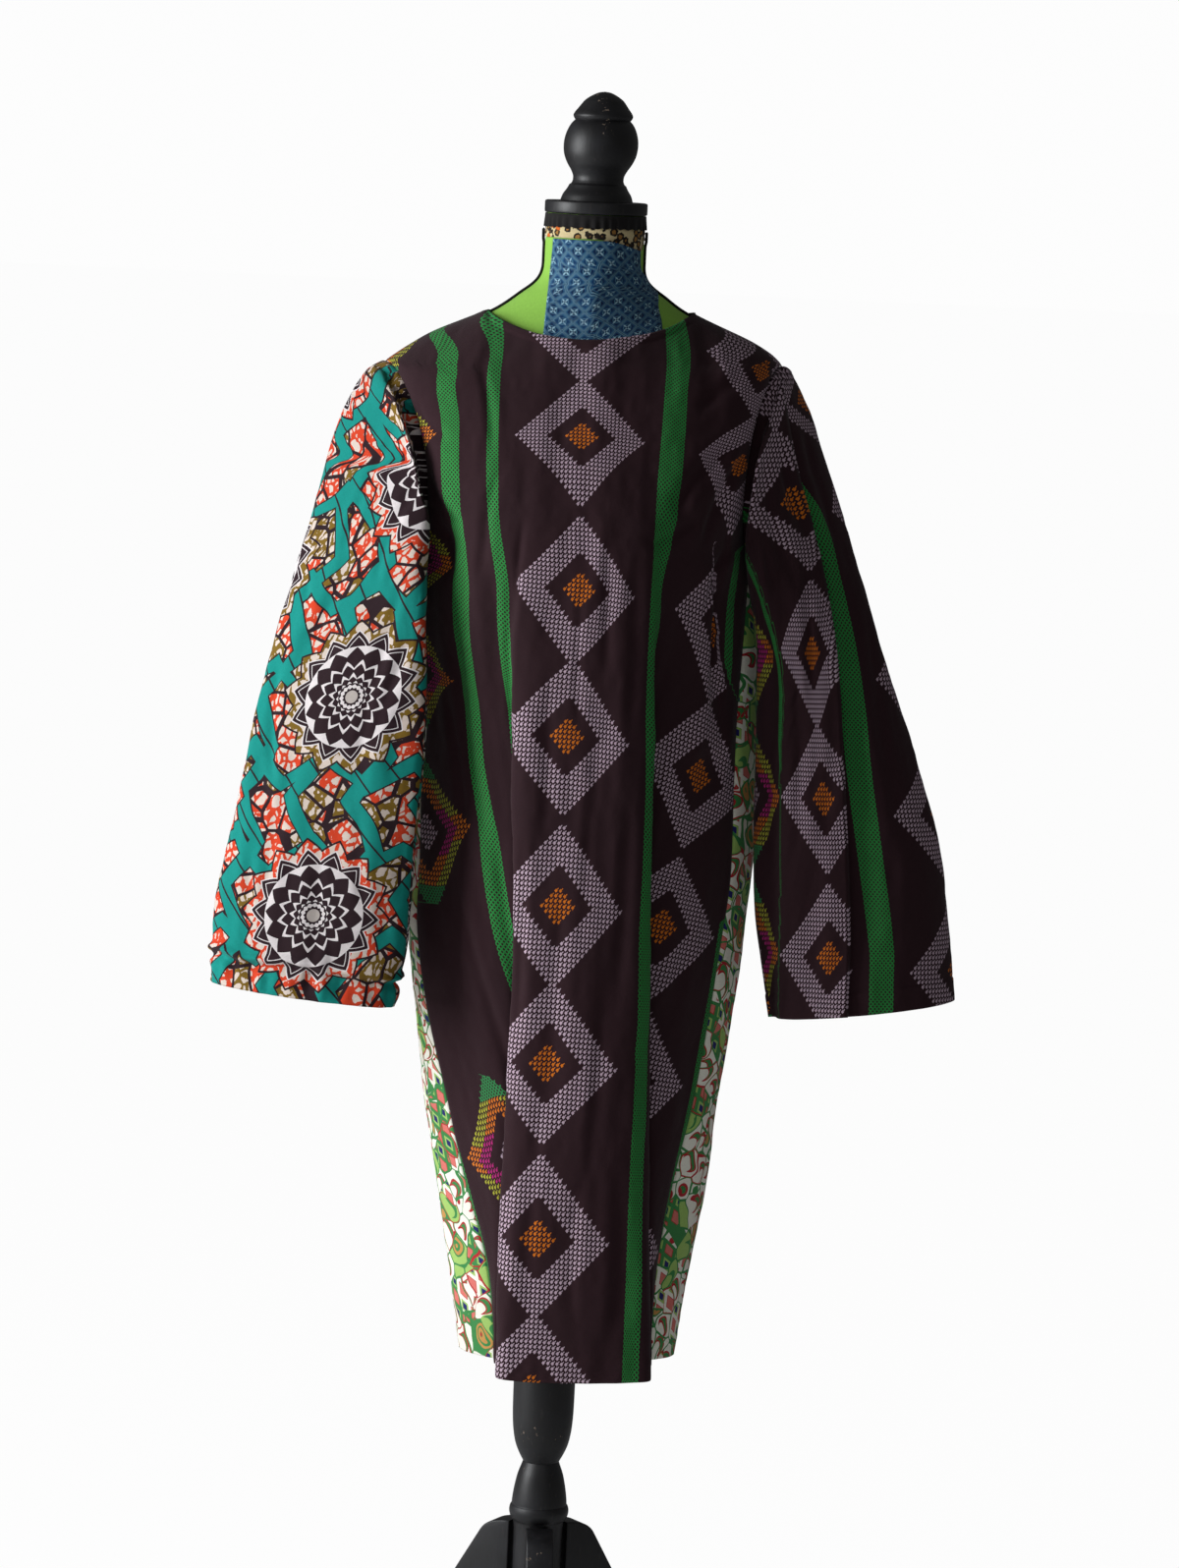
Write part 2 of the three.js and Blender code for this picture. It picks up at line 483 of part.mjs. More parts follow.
/** The height of a panel's top edge: the shoulder seam or the neckline. */
function topZ(face, share) {
  const side = share < 0 ? 'left' : 'right';
  const { middle, toTip } = ARMHOLES[side];
  const tipX = middle[0] + toTip[0];
  const x = mix(body.grain(1400), tipX, Math.abs(share));
  const neck = NECK_FRONT[side === 'left' ? 0 : NECK_FRONT.length - 1].x;
  if (Math.abs(x) < Math.abs(neck)) return (face < 0 ? neckFront : neckBack)(x);
  return ridgeHeight[side](Math.abs(x)) - 0.02;
}

/** The rows of a piece below the underarm, which every piece shares so that their seams follow each other. */
const lowerRow = (bottom, i) => mix(UNDERARM_Z, bottom, (i / ROWS.lower) ** 1.15);

function panelGrid(face, splits) {
  const shares = [];
  for (let j = -splits.left; j <= splits.right; j++) shares.push(j < 0 ? j / splits.left : j / splits.right);
  const grid = [];
  for (let i = 0; i <= ROWS.upper + ROWS.lower; i++) {
    grid.push(shares.map(share => {
      const bottom = face < 0 ? hemFront((share + 1) / 2) : HEM_LEVEL;
      const upper = mix(topZ(face, share), UNDERARM_Z, (i / ROWS.upper) ** 1.25);
      return panelPoint(face, share, i < ROWS.upper ? upper : lowerRow(bottom, i - ROWS.upper));
    }));
  }
  return face < 0 ? grid : grid.map(row => [...row].reverse());
}

/** A side panel, from the front seam round to the back seam. */
function sideGrid(side, splits) {
  const frontBottom = hemFront(side === 'left' ? 0 : 1);
  const grid = [];
  for (let i = 0; i <= ROWS.lower; i++) {
    const row = [];
    for (let j = 0; j <= splits.across; j++) {
      const bottom = mix(frontBottom, HEM_LEVEL, j / splits.across);
      const z = Math.min(lowerRow(bottom, i), UNDERARM_Z - GUSSET_DROP);
      const line = sideLine(side, z);
      const start = seamTrim(side, -1, z);
      const end = line.total - seamTrim(side, 1, z);
      const point = along(line, mix(start, end, j / splits.across));
      point.z = z;
      row.push(point);
    }
    grid.push(row);
  }
  return side === 'right' ? grid : grid.map(row => row.reverse());
}

/** A sleeve's rings, from just outside the armhole to the hem. */
function sleeveGrid(side, splits) {
  const outward = side === 'left' ? -1 : 1;
  const ring = ({ outer, inner, front, back }, angle) => {
    const [x, y, z] = outer.map((value, k) => mix(inner[k], value, (1 + Math.cos(angle)) / 2));
    const stand = Math.sin(angle) >= 0 ? front : back;
    const out = Math.abs(Math.sin(angle));
    return new THREE.Vector3(x + stand[0] * out, y + stand[1] * out, z);
  };
  const rows = SLEEVES[side];
  const grid = [];
  const angles = Array.from({ length: splits.ring }, (_, j) => 2 * Math.PI * j / splits.ring);
  for (const out of [HEAD_START, HEAD_STEP]) {
    grid.push(angles.map(angle => {
      const point = armholePoint(side, angle);
      point.x += outward * out;
      point.y *= 1 + (out - HEAD_START) / 100;
      return point;
    }));
  }
  rows.forEach((row, i) => {
    grid.push(angles.map(angle => {
      const point = ring(row, angle);
      if (side === 'right' && i >= SLEEVE_FOLD.from) {
        const away = (angle - SLEEVE_FOLD.angle) / SLEEVE_FOLD.width;
        const fadeIn = clamp((i - SLEEVE_FOLD.from + 1) / 3);
        point.y += SLEEVE_FOLD.depth * fadeIn * Math.exp(-away * away);
      }
      return point;
    }));
  });
  return side === 'left' ? grid : grid.map(row => row.reverse());
}

// ---------------------------------------------------------------- the form
/** Half widths, depths and squareness of the form at one height. */
function formAt(z) {
  const onShoulder = ease(clamp((z - FORM_SHOULDER.fromZ) / FORM_SHOULDER.over));
  const onNeck = ease(clamp((z - NECK.rootZ) / (NECK.flareZ - NECK.rootZ)));
  const size = { square: mix(mix(form.square(z), yoke.square(z), onShoulder), 2, onNeck) };
  for (const side of ['left', 'right']) {
    const { middle, toTip } = ARMHOLES[side];
    const tip = Math.abs(middle[0] + toTip[0]);
    const ridge = ridgeWidth[side](z + FORM_DROP) - FORM_INSET;
    const plain = form.half(z) + (side === 'left' ? -1 : 1) * form.middle(z);
    size[side] = mix(mix(plain, Math.min(ridge, tip - ARM_CAP), onShoulder), NECK.radius, onNeck);
  }
  for (const face of ['front', 'back']) {
    size[face] = mix(mix(form[face](z), yoke[face](z) - YOKE_INSET, onShoulder), NECK.radius, onNeck);
  }
  return size;
}
/** The form's skin, or a point that far out from it: an angle of 0 is +X, and a quarter turn back is the front. */
function formPoint(z, angle, out = 0) {
  const r = NECK.collarRadius;
  const size = z > NECK.topZ ? { left: r, right: r, front: r, back: r, square: 2 } : formAt(z);
  const c = Math.cos(angle);
  const s = Math.sin(angle);
  const half = c < 0 ? size.left : size.right;
  const depth = s < 0 ? size.front : size.back;
  const x = Math.sign(c) * half * Math.abs(c) ** (2 / size.square);
  const y = depth * s;
  const away = new THREE.Vector2(
    Math.sign(x) * size.square * Math.abs(x / half) ** (size.square - 1) / half, 2 * y / depth ** 2,
  ).normalize();
  return new THREE.Vector3(x + away.x * out, y + away.y * out, z);
}
/** The angle at which the front of the form stands at x. */
function formAngle(z, x) {
  const size = formAt(z);
  const half = x < 0 ? size.left : size.right;
  return -Math.acos(Math.sign(x) * clamp(Math.abs(x) / half) ** (size.square / 2));
}

/** A closed solid through rings, all with the same number of points. */
function loft(rings) {
  const around = rings[0].length;
  const points = rings.flat();
  const triangles = [];
  for (let i = 0; i < rings.length - 1; i++) {
    for (let j = 0; j < around; j++) {
      const k = (j + 1) % around;
      triangles.push([i * around + j, i * around + k, (i + 1) * around + k]);
      triangles.push([i * around + j, (i + 1) * around + k, (i + 1) * around + j]);
    }
  }
  for (const [ring, flip] of [[0, true], [rings.length - 1, false]]) {
    const middle = rings[ring].reduce((sum, p) => sum.add(p), new THREE.Vector3()).divideScalar(around);
    points.push(middle);
    for (let j = 0; j < around; j++) {
      const a = ring * around + j;
      const b = ring * around + (j + 1) % around;
      triangles.push(flip ? [points.length - 1, b, a] : [points.length - 1, a, b]);
    }
  }
  return solid(points, triangles);
}

function formBody() {
  const heights = [
    836, 842, 856, 885, 920, 955, 990, 1025, 1060, 1100, 1140, 1180, 1215, 1250, 1285, 1315, 1340, 1358, 1372,
    1382, 1392, 1402, 1412, 1422, 1432, 1442, 1452, 1458, 1464, 1470, 1476, 1482, 1488, 1508,
  ];
  const angles = Array.from({ length: SPLITS.form }, (_, j) => 2 * Math.PI * j / SPLITS.form);
  const rings = heights.map(z => angles.map(angle => formPoint(z, angle)));
  for (const z of [NECK.topZ + 0.2, NECK.collarTopZ]) {
    rings.push(angles.map(angle => formPoint(z, angle)));
  }
  for (const point of rings[rings.length - 1]) point.z = NECK.collarTopZ;
  return loft(rings);
}

/** The blue print panel on the front of the neck, laid on the form. */
function neckPanel() {
  const { topZ: top, bottomZ, rows, across, thickness, lift } = NECK_PANEL;
  const left = follow(NECK_PANEL.edges, 'left');
  const right = follow(NECK_PANEL.edges, 'right');
  const grid = [];
  for (let i = 0; i <= rows; i++) {
    const z = mix(top, bottomZ, i / rows);
    const row = [];
    for (let j = 0; j <= across; j++) {
      const angle = mix(formAngle(z, left(z)), formAngle(z, right(z)), j / across);
      row.push(formPoint(z, angle, lift + thickness / 2));
    }
    grid.push(row);
  }
  return cloth(grid, false, thickness);
}

/** Black piping down one side of the neck, along the ridge of the shoulder. */
function piping(side) {
  const outward = side === 'left' ? -1 : 1;
  const edge = z => formAt(z)[side];
  const route = [];
  for (let i = 0; i <= PIPING.steps; i++) {
    const z = mix(NECK.topZ - 1.5, PIPING.endZ[side], i / PIPING.steps);
    const slope = edge(z + 0.5) - edge(z - 0.5);
    const normal = new THREE.Vector2(1, -slope).normalize().multiplyScalar(PIPING.radius + PIPING.lift);
    route.push(new THREE.Vector3(outward * (edge(z) + normal.x), 0, z + normal.y));
  }
  const section = new THREE.Shape();
  section.absarc(0, 0, PIPING.radius, 0, 2 * Math.PI);
  return new THREE.ExtrudeGeometry(section, {
    extrudePath: new THREE.CatmullRomCurve3(route), steps: 20, curveSegments: 4, bevelEnabled: false,
  });
}

// ---------------------------------------------------------------- the stand
function turned(rows, splits) {
  const profile = rows.map(({ z, r }) => new THREE.Vector2(r, z)).reverse();
  return new THREE.LatheGeometry(profile, splits).rotateX(Math.PI / 2);
}

function cap() {
  const { radius, bottomZ, topZ: top, round } = CAP;
  return turned([
    { z: top, r: 0 }, { z: top, r: radius - round }, { z: top - round, r: radius },
    { z: bottomZ + round, r: radius }, { z: bottomZ, r: radius - round }, { z: bottomZ, r: 0 },
  ], SPLITS.form);
}

function band({ bottomZ, topZ: top, outer }) {
  const inner = NECK.collarRadius + REST_GAP;
  return turned([
    { z: top, r: inner }, { z: top, r: outer }, { z: bottomZ, r: outer }, { z: bottomZ, r: inner }, { z: top, r: inner },
  ], SPLITS.form);
}

/** One board leg, drawn from the side and then turned round the axis. */
function leg(angle) {
  const { start, topZ: top, shoulder, knee, toe, toeEnd, heel, instep, rootZ, thickness } = LEG;
  const outline = new THREE.Shape();
  outline.moveTo(start, rootZ);
  outline.lineTo(start, top);
  outline.quadraticCurveTo(mix(start, shoulder[0], 0.75), top, shoulder[0], shoulder[1]);
  outline.lineTo(knee[0], knee[1]);
  outline.quadraticCurveTo(knee[0] + 24, toe[1] + 2, toe[0], toe[1]);
  outline.lineTo(toeEnd, toe[1] - 6);
  outline.lineTo(toeEnd, 0);
  outline.lineTo(heel, 0);
  outline.quadraticCurveTo(instep[0] + 30, 4, instep[0], instep[1]);
  outline.quadraticCurveTo(instep[0] - 40, rootZ - 6, start, rootZ);
  const board = new THREE.ExtrudeGeometry(outline, { depth: thickness, bevelEnabled: false, curveSegments: 7 });
  board.translate(0, 0, -thickness / 2).rotateX(Math.PI / 2);
  return board.rotateZ(THREE.MathUtils.degToRad(angle + LEG.turn));
}

// ---------------------------------------------------------------- the whole object
const group = new THREE.Group();
function add(name, geometry, finish) {
  const { color, roughness } = FINISH[finish];
  const material = new THREE.MeshStandardMaterial({ color, roughness, metalness: 0 });
  material.name = finish;
  const mesh = new THREE.Mesh(geometry, material);
  mesh.name = name;
  group.add(mesh);
}

add('dress_front', cloth(panelGrid(-1, { left: 21, right: 25 })), 'plum');
add('dress_back', cloth(panelGrid(1, { left: 14, right: 15 })), 'plum');
for (const side of ['left', 'right']) {
  add(`side_panel_${side}`, cloth(sideGrid(side, { across: 6 })), 'leaf');
  add(`sleeve_${side}`, cloth(sleeveGrid(side, { ring: SPLITS.ring }), true), side === 'left' ? 'wax' : 'plum');
}
add('form_body', formBody(), 'lime');
add('neck_print_panel', neckPanel(), 'blue');
for (const side of ['left', 'right']) add(`neck_piping_${side}`, piping(side), 'ruffle');
BANDS.forEach((row, i) => add(row.name, band(row), i ? 'ruffle' : 'sand'));
add('neck_cap', cap(), 'lacquer');
add('finial', turned(FINIAL, SPLITS.finial), 'lacquer');
add('pole', turned(POLE, SPLITS.pole), 'lacquer');
add('hub', turned(HUB, SPLITS.pole), 'lacquer');
for (const [place, angle] of Object.entries(LEG.angles)) add(`leg_${place}`, leg(angle), 'lacquer');

// The middle of the footprint becomes the origin, with the feet on the ground.
const footprint = new THREE.Box3().setFromObject(group).getCenter(new THREE.Vector3());
group.position.set(-footprint.x, -footprint.y, 0);
group.updateMatrixWorld(true);

export default group;
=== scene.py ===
"""A loose patchwork print dress on a limbless dress form with a turned finial and a tripod stand.

Lengths in the tables are millimetres from the stand's axis: x runs to the right of a viewer who
looks at the front, y runs away from the front, and z runs up from the ground. place() brings them
into the frame's metres. Left and right are that viewer's too, where the wearer is not named.
"""
import bisect
import math
from functools import partialmethod

import bmesh
import bpy
import numpy as np
from mathutils import Matrix, Vector


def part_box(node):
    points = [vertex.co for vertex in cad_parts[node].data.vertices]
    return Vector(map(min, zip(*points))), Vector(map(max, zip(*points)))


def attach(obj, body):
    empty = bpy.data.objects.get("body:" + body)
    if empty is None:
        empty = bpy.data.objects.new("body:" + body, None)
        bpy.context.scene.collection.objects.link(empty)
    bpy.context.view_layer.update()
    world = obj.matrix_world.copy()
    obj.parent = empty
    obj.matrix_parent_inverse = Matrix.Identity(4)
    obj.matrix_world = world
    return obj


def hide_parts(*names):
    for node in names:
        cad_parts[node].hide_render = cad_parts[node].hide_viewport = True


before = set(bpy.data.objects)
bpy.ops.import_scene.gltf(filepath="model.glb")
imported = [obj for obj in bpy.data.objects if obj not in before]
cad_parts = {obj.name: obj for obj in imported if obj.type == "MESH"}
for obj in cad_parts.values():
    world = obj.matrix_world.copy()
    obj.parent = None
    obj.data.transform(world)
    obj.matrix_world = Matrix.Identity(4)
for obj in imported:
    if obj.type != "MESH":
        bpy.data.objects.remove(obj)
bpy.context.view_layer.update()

MM = 0.001
POLE_LOW, POLE_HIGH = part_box("pole")
AXIS = np.array([(POLE_LOW.x + POLE_HIGH.x) / 2, (POLE_LOW.y + POLE_HIGH.y) / 2, 0.0])

# ------------------------------------------------------------------ tables


def rows(names, *values):
    """A short table: a dictionary for each row of values."""
    return [dict(zip(names.split(), row)) for row in values]


OUTWARD = {"left": -1, "right": 1}  # which way each side of the dress lies along x
UNDERARM_Z = 1206
NECK_LEVEL = 1400
HEM_LEVEL = 415  # the side panels and the back end here
FORM_DROP = 3.6  # the form's shoulders lie this far below the middle of the cloth
FORM_INSET = 4.5  # and this far in from it
YOKE_INSET = 7  # and the form's chest lies this far behind it
ARM_CAP = 16  # the form's shoulders end this far inside the shoulder tips
PLEAT_ROOM = 58  # how far a section's round corner lies beyond the edge of its first pleat
CLOTH_WALL = 0.9  # thickness of the cotton, with its turned edges
HEM_WIDTH, CUFF_WIDTH = 22, 24  # of the turned hems
STITCH = {"inset": 1.5, "width": 1.3, "depth": 0.7}  # the row of stitches along a turned edge
SEAM_DEPTH = 1.1  # of the side seams
NECK_REACH = 100  # the neckline lies within this distance of the middle
ROWS = {"yoke": 64, "skirt": 168, "gusset": 190}  # rows of the panels' grids
GUSSET_COLUMNS = 40
GUSSET_SQUARE = 0.72  # how soon a side panel swings out to its widest point
SAME_PLACE = 1e-6  # metres; points closer than this are one
# Metres; it makes the two side panels show other parts of their print.
PRINT_SHIFT = {"left": 0.31, "right": 0.87}
# Where a panel's columns turn from even lengths to even widths.
EVEN_WIDTHS = {"from": 1240, "over": 90}
LEVEL_STEP = 4.0
LEVELS = np.arange(400, 1345, LEVEL_STEP)
SHARES = np.linspace(0, 1, 241)
SHOULDER_GAP = 0.2  # half the gap along the shoulder seams
ARMHOLE_MERGE = 14  # over this height the side seam runs into the armhole

# Armholes: top and bottom of the ring lie on the shoulder tip and the underarm.
ARMHOLES = {
    "left": {
        "middle": (-183, 0, 1292), "tip": (-15, 0, 91), "front": (31, -70, 0), "back": (16, 62, 0),
    },
    "right": {
        "middle": (177, 0, 1299), "tip": (10, 0, 96), "front": (-22, -66, 0), "back": (-14, 62, 0),
    },
}

# The dress below the arms: the seams of the front panel, the widest points of the side panels, the
# seams of the back, how far the side seams lie before and behind the axis, the depths of front and
# back, where they are deepest (crest), and where the middle of the front print hangs (grain).
BODY = rows(
    "z frontL frontR sideL sideR backL backR seamF seamB front back crest grain",
    (400, -46, 101, -82, 123, -70, 110, 58, 50, 131, 96, 26, -13),
    (510, -61, 104, -101, 137, -87, 120, 56, 50, 133, 102, 24, -12),
    (600, -88, 117, -117, 147, -103, 130, 54, 50, 135, 108, 20, -12),
    (680, -109, 133, -131, 150, -118, 138, 53, 50, 136, 114, 16, -11),
    (760, -130, 144, -140, 159, -131, 148, 52, 50, 137, 120, 13, -10),
    (840, -143, 153, -149, 170, -142, 158, 51, 50, 138, 124, 10, -10),
    (900, -143, 159, -151, 173, -144, 162, 49, 48, 138, 122, 8, -9),
    (980, -145, 158, -151, 168, -146, 159, 46, 45, 139, 113, 6, -8),
    (1060, -148, 158, -154, 165, -149, 158, 42, 42, 140, 106, 4, -8),
    (1140, -155, 161, -162, 167, -156, 160, 35, 35, 141, 105, 2, -7),
    (1206, -160, 163, -168, 168, -165, 163, 27, 27, 141, 106, 1, -6),
)
YOKE = rows(
    "z front back square",
    (1206, 141, 106, 2.4), (1240, 139, 106, 2.4), (1280, 132, 106, 2.4), (1320, 121, 104, 2.35),
    (1350, 111, 99, 2.3), (1383, 98, 90, 2.0), (1400, 89, 83, 1.75), (1414, 81, 76, 1.5),
    (1428, 74, 69, 1.35), (1455, 62, 58, 1.4), (1472, 55, 53, 1.7), (1491, 51, 51, 2),
)
SHOULDERS = {
    "left": rows(
        "x z", (198, 1383), (177, 1398), (153, 1413), (103, 1436), (79, 1452), (62, 1468),
        (51, 1491),
    ),
    "right": rows(
        "x z", (187, 1395), (176, 1405), (155, 1417), (99, 1441), (77, 1455), (61, 1470),
        (51, 1491),
    ),
}
NECK_FRONT = rows(
    "x z", (-103, 1436), (-77, 1425), (-48, 1417), (-1, 1414), (46, 1420), (74, 1428), (99, 1441),
)
NECK_BACK = rows(
    "x z", (-103, 1436), (-77, 1430), (-40, 1426), (0, 1425), (40, 1428), (74, 1434), (99, 1441),
)
HEM_FRONT = rows("at z", (0, 419), (0.3, 416), (0.5, 413), (0.75, 418), (1, 424))

# Long soft pleats: x is the edge that overhangs, tuck is how far the cloth goes in behind that
# edge, depth is how far it falls back there, and open fades the pleat in.
PLEAT = "z x tuck depth open"
PLEATS = {
    (-1, "left"): [
        rows(
            PLEAT,
            (400, -44, 68, 44, 1), (510, -47, 62, 42, 1), (600, -48, 50, 38, 1),
            (690, -49, 36, 34, 1), (760, -49, 27, 29, 1), (840, -50, 18, 24, 1),
            (940, -53, 12, 21, 1), (1060, -58, 5, 19, 0.8), (1140, -59, 2, 16, 0.45),
            (1215, -60, 0, 12, 0.15), (1290, -60, 0, 10, 0),
        ),
    ],
    (-1, "right"): [
        rows(
            PLEAT,
            (400, 100, 56, 44, 1), (510, 96, 54, 42, 1), (600, 92, 50, 38, 1),
            (690, 89, 44, 34, 1), (760, 86, 40, 29, 1), (840, 82, 33, 25, 1), (940, 78, 26, 22, 1),
            (1060, 76, 14, 20, 1), (1140, 73, 5, 18, 0.7), (1215, 71, 0, 14, 0.3),
            (1290, 71, 0, 10, 0),
        ),
        rows(
            PLEAT,
            (1020, 128, 0, 8, 0), (1070, 128, 2, 12, 0.5), (1130, 129, 6, 14, 0.9),
            (1190, 128, 4, 13, 0.8), (1250, 124, 0, 10, 0),
        ),
    ],
    (1, "left"): [
        rows(
            PLEAT,
            (400, -52, 44, 34, 1), (600, -58, 30, 30, 1), (760, -64, 14, 24, 1),
            (900, -68, 2, 14, 0.5), (1020, -70, 0, 10, 0),
        ),
    ],
    (1, "right"): [
        rows(
            PLEAT,
            (400, 70, 40, 34, 1), (600, 74, 34, 30, 1), (760, 76, 18, 26, 1),
            (900, 74, 6, 15, 0.7), (1060, 70, 0, 12, 0.2), (1120, 70, 0, 10, 0),
        ),
    ],
}
LEAST_OPEN = 0.02  # a pleat below this is left out
PLEAT_STEP = 7  # at most this far between the points of a section round a pleat
STEPS_TO_EDGE = 7  # at least this many such steps fit between the pleat and the panel's edge
WIDEST_GAP = 60  # a wider one between two pleats gets a point in it
# The turns of a pleat: steps past its edge, shares of its tuck, and shares of its depth.
PLEAT_TURNS = (
    (0, 0, 0.3), (0.7, 0.3, 0.5), (1.6, 0.8, 0.62), (2.2, 1, 0.76), (2.8, 0.8, 0.9), (3.6, 0.3, 1),
    (4.4, -0.06, 1.03),
)

# Shares of the way from the last pleat to the panel's edge.
AFTER_PLEATS = (0.22, 0.45, 0.66, 0.84, 0.95)

# Sleeves, a row for each ring after the armhole: the outer and inner edges, and how far in x and y
# the cloth stands before and behind the line between them.
RING = "ox oy oz ix iy iz fx fy bx by"
SLEEVES = {
    "left": rows(
        RING,
        (-212, -2, 1374, -172, -22, 1188, 32, -88, 8, 60),
        (-229, -6, 1348, -170, -55, 1168, 46, -74, -2, 56),
        (-243, -12, 1308, -156, -88, 1146, 32, -58, -6, 48),
        (-256, -20, 1255, -145, -108, 1112, 14, -40, -4, 40),
        (-272, -28, 1195, -141, -114, 1070, 2, -31, 2, 32),
        (-289, -34, 1125, -141, -115, 1022, -8, -26, 8, 27),
        (-302, -38, 1055, -144, -114, 972, -12, -25, 12, 25),
        (-314, -40, 985, -147, -111, 922, -13, -26, 12, 25),
        (-326, -42, 915, -149, -108, 870, -13, -28, 12, 26),
        (-337, -42, 850, -151, -104, 822, -12, -30, 11, 28),
        (-338, -42, 812, -157, -101, 793, -12, -32, 11, 29),
        (-339, -42, 778, -162, -98, 768, -12, -33, 11, 30),
    ),
    "right": rows(
        RING,
        (199, -2, 1383, 172, -14, 1190, -24, -80, -6, 60),
        (215, -4, 1354, 176, -32, 1172, -30, -68, 4, 56),
        (229, -8, 1316, 176, -50, 1148, -22, -53, 6, 48),
        (247, -14, 1266, 175, -60, 1112, -10, -40, 6, 41),
        (267, -20, 1208, 175, -64, 1066, 2, -33, 2, 36),
        (290, -24, 1142, 177, -65, 1016, 9, -30, -6, 33),
        (312, -27, 1080, 178, -65, 966, 10, -31, -9, 32),
        (336, -29, 1014, 180, -65, 914, 10, -33, -9, 32),
        (357, -30, 948, 184, -65, 866, 10, -35, -9, 33),
        (370, -30, 880, 191, -64, 826, 10, -37, -9, 34),
        (377, -30, 830, 197, -63, 794, 10, -38, -9, 35),
        (381, -30, 789, 202, -62, 768, 10, -40, -9, 36),
    ),
}
# The right sleeve's long fold: its angle at each ring, and how far its edge stands out there.
SLEEVE_FOLD = rows(
    "ring angle stand", (0, 0.36, 0), (2, 0.42, 1), (3, 0.49, 3), (5, 0.84, 5), (6.2, 1.03, 6),
    (7, 1.22, 6), (8, 1.43, 6), (9.6, 1.61, 5.5), (12.6, 1.83, 4.5), (14, 1.9, 3.5),
)

FORM = rows(
    "z half front back middle square",
    (836, 138, 92, 90, 12, 2.2), (844, 147, 101, 98, 12, 2.2), (870, 150, 104, 103, 11, 2.2),
    (920, 148, 104, 102, 10, 2.2), (980, 133, 99, 88, 8, 2.15), (1060, 116, 90, 71, 6, 2.1),
    (1140, 131, 107, 78, 4, 2.1), (1215, 148, 126, 90, 1, 2.15), (1280, 150, 119, 96, -1, 2.15),
    (1330, 160, 107, 92, -3, 2.1),
)
NECK_RADIUS = 47.5
NECK_FLARE_Z = 1487
NECK_TOP_Z = 1508
FORM_COLUMNS = 144
PANEL_COLUMNS = 64
PANEL_FALL = 9  # the neck panel's top edge falls this far on the wearer's left
PANEL_LOW_Z = 1398
PIPING_RADIUS = 1.5
PIPING_ENDS = {"left": 1431, "right": 1436}
HOOP_TURN = np.linspace(math.pi / 2, math.pi / 2 + 2 * math.pi, 289)
COLLAR_RADIUS = 46.3
NECK_PANEL = rows(
    "z left right", (1398, -46, 70), (1430, -44, 64), (1470, -41, 53), (1487, -40, 45),
    (1508, -39, 43),
)

# Turned pieces, rows from the top down; a 1 in corner keeps an edge sharp.
FINIAL = rows(
    "z r corner", (1649, 0, 1), (1648.2, 5.5, 0), (1646, 10.6, 0), (1643.4, 15, 0),
    (1640.4, 18.8, 0), (1636.8, 21.6, 0), (1633, 24.4, 0), (1629, 27.4, 0), (1626, 28.7, 0),
    (1623.6, 28, 0), (1621.6, 26.6, 1), (1618, 29.8, 0), (1612, 33, 0), (1604, 35.3, 0),
    (1596, 35.8, 0), (1588, 34.6, 0), (1580, 31.2, 0), (1573, 26.8, 0), (1568, 24.6, 0),
    (1564, 24.4, 1), (1561, 25.6, 0), (1559.5, 27.4, 1), (1556, 29.2, 0), (1550, 33, 0),
    (1544.3, 35, 1), (1544.3, 0, 1),
)
FINIAL_LEAN = 0.036  # sideways for each step up
CAP = rows(
    "z r corner", (1544, 0, 1), (1544, 47.4, 1), (1543.4, 49, 0), (1542, 49.5, 1), (1534, 49.5, 1),
    (1532.6, 49, 0), (1532, 47.6, 1), (1532, 0, 1),
)
POLE = rows(
    "z r corner",
    (835.7, 0, 1), (835.7, 29, 1), (600, 29.6, 0), (420, 30.2, 0), (375, 30.3, 0), (350, 29.8, 0),
    (336, 28.6, 0), (323, 26, 0), (314, 22.4, 0), (305.3, 17.8, 1), (305.3, 0, 1),
)
HUB = rows(
    "z r corner", (305, 0, 1), (305, 17.8, 1), (301, 19.2, 0), (292, 22.4, 0), (278, 25.4, 0),
    (266, 27, 0), (262, 27.2, 1), (260.5, 28.4, 0), (256, 29.4, 0), (251, 28.6, 0), (247, 26.8, 0),
    (245.2, 25, 1), (236, 24, 0), (118, 24, 1), (112, 22, 1), (112, 0, 1),
)
LEG = {
    "thickness": 27, "start": 25.6, "top": 243, "shoulder": (58, 230), "knee": (160, 60),
    "toe": (246, 20), "end": 252, "heel": 206, "instep": (118, 60), "root": 132, "round": 1.6,
}
LEG_ANGLES = {"leg_front": -87, "leg_right": 33, "leg_left": 153}

# ------------------------------------------------------------------ numbers and curves


def mix(a, b, t):
    return a + (b - a) * t


def ease(t):
    t = np.clip(t, 0, 1)
    return t * t * (3 - 2 * t)


def fade(value, start, over):
    """0 before the start, then eased to 1 over a stretch, which is negative where it runs down."""
    return ease((value - start) / over)


def bell(distance, width):
    """1 in the middle, falling to 0 on both sides."""
    return np.exp(-((distance / width) ** 2))


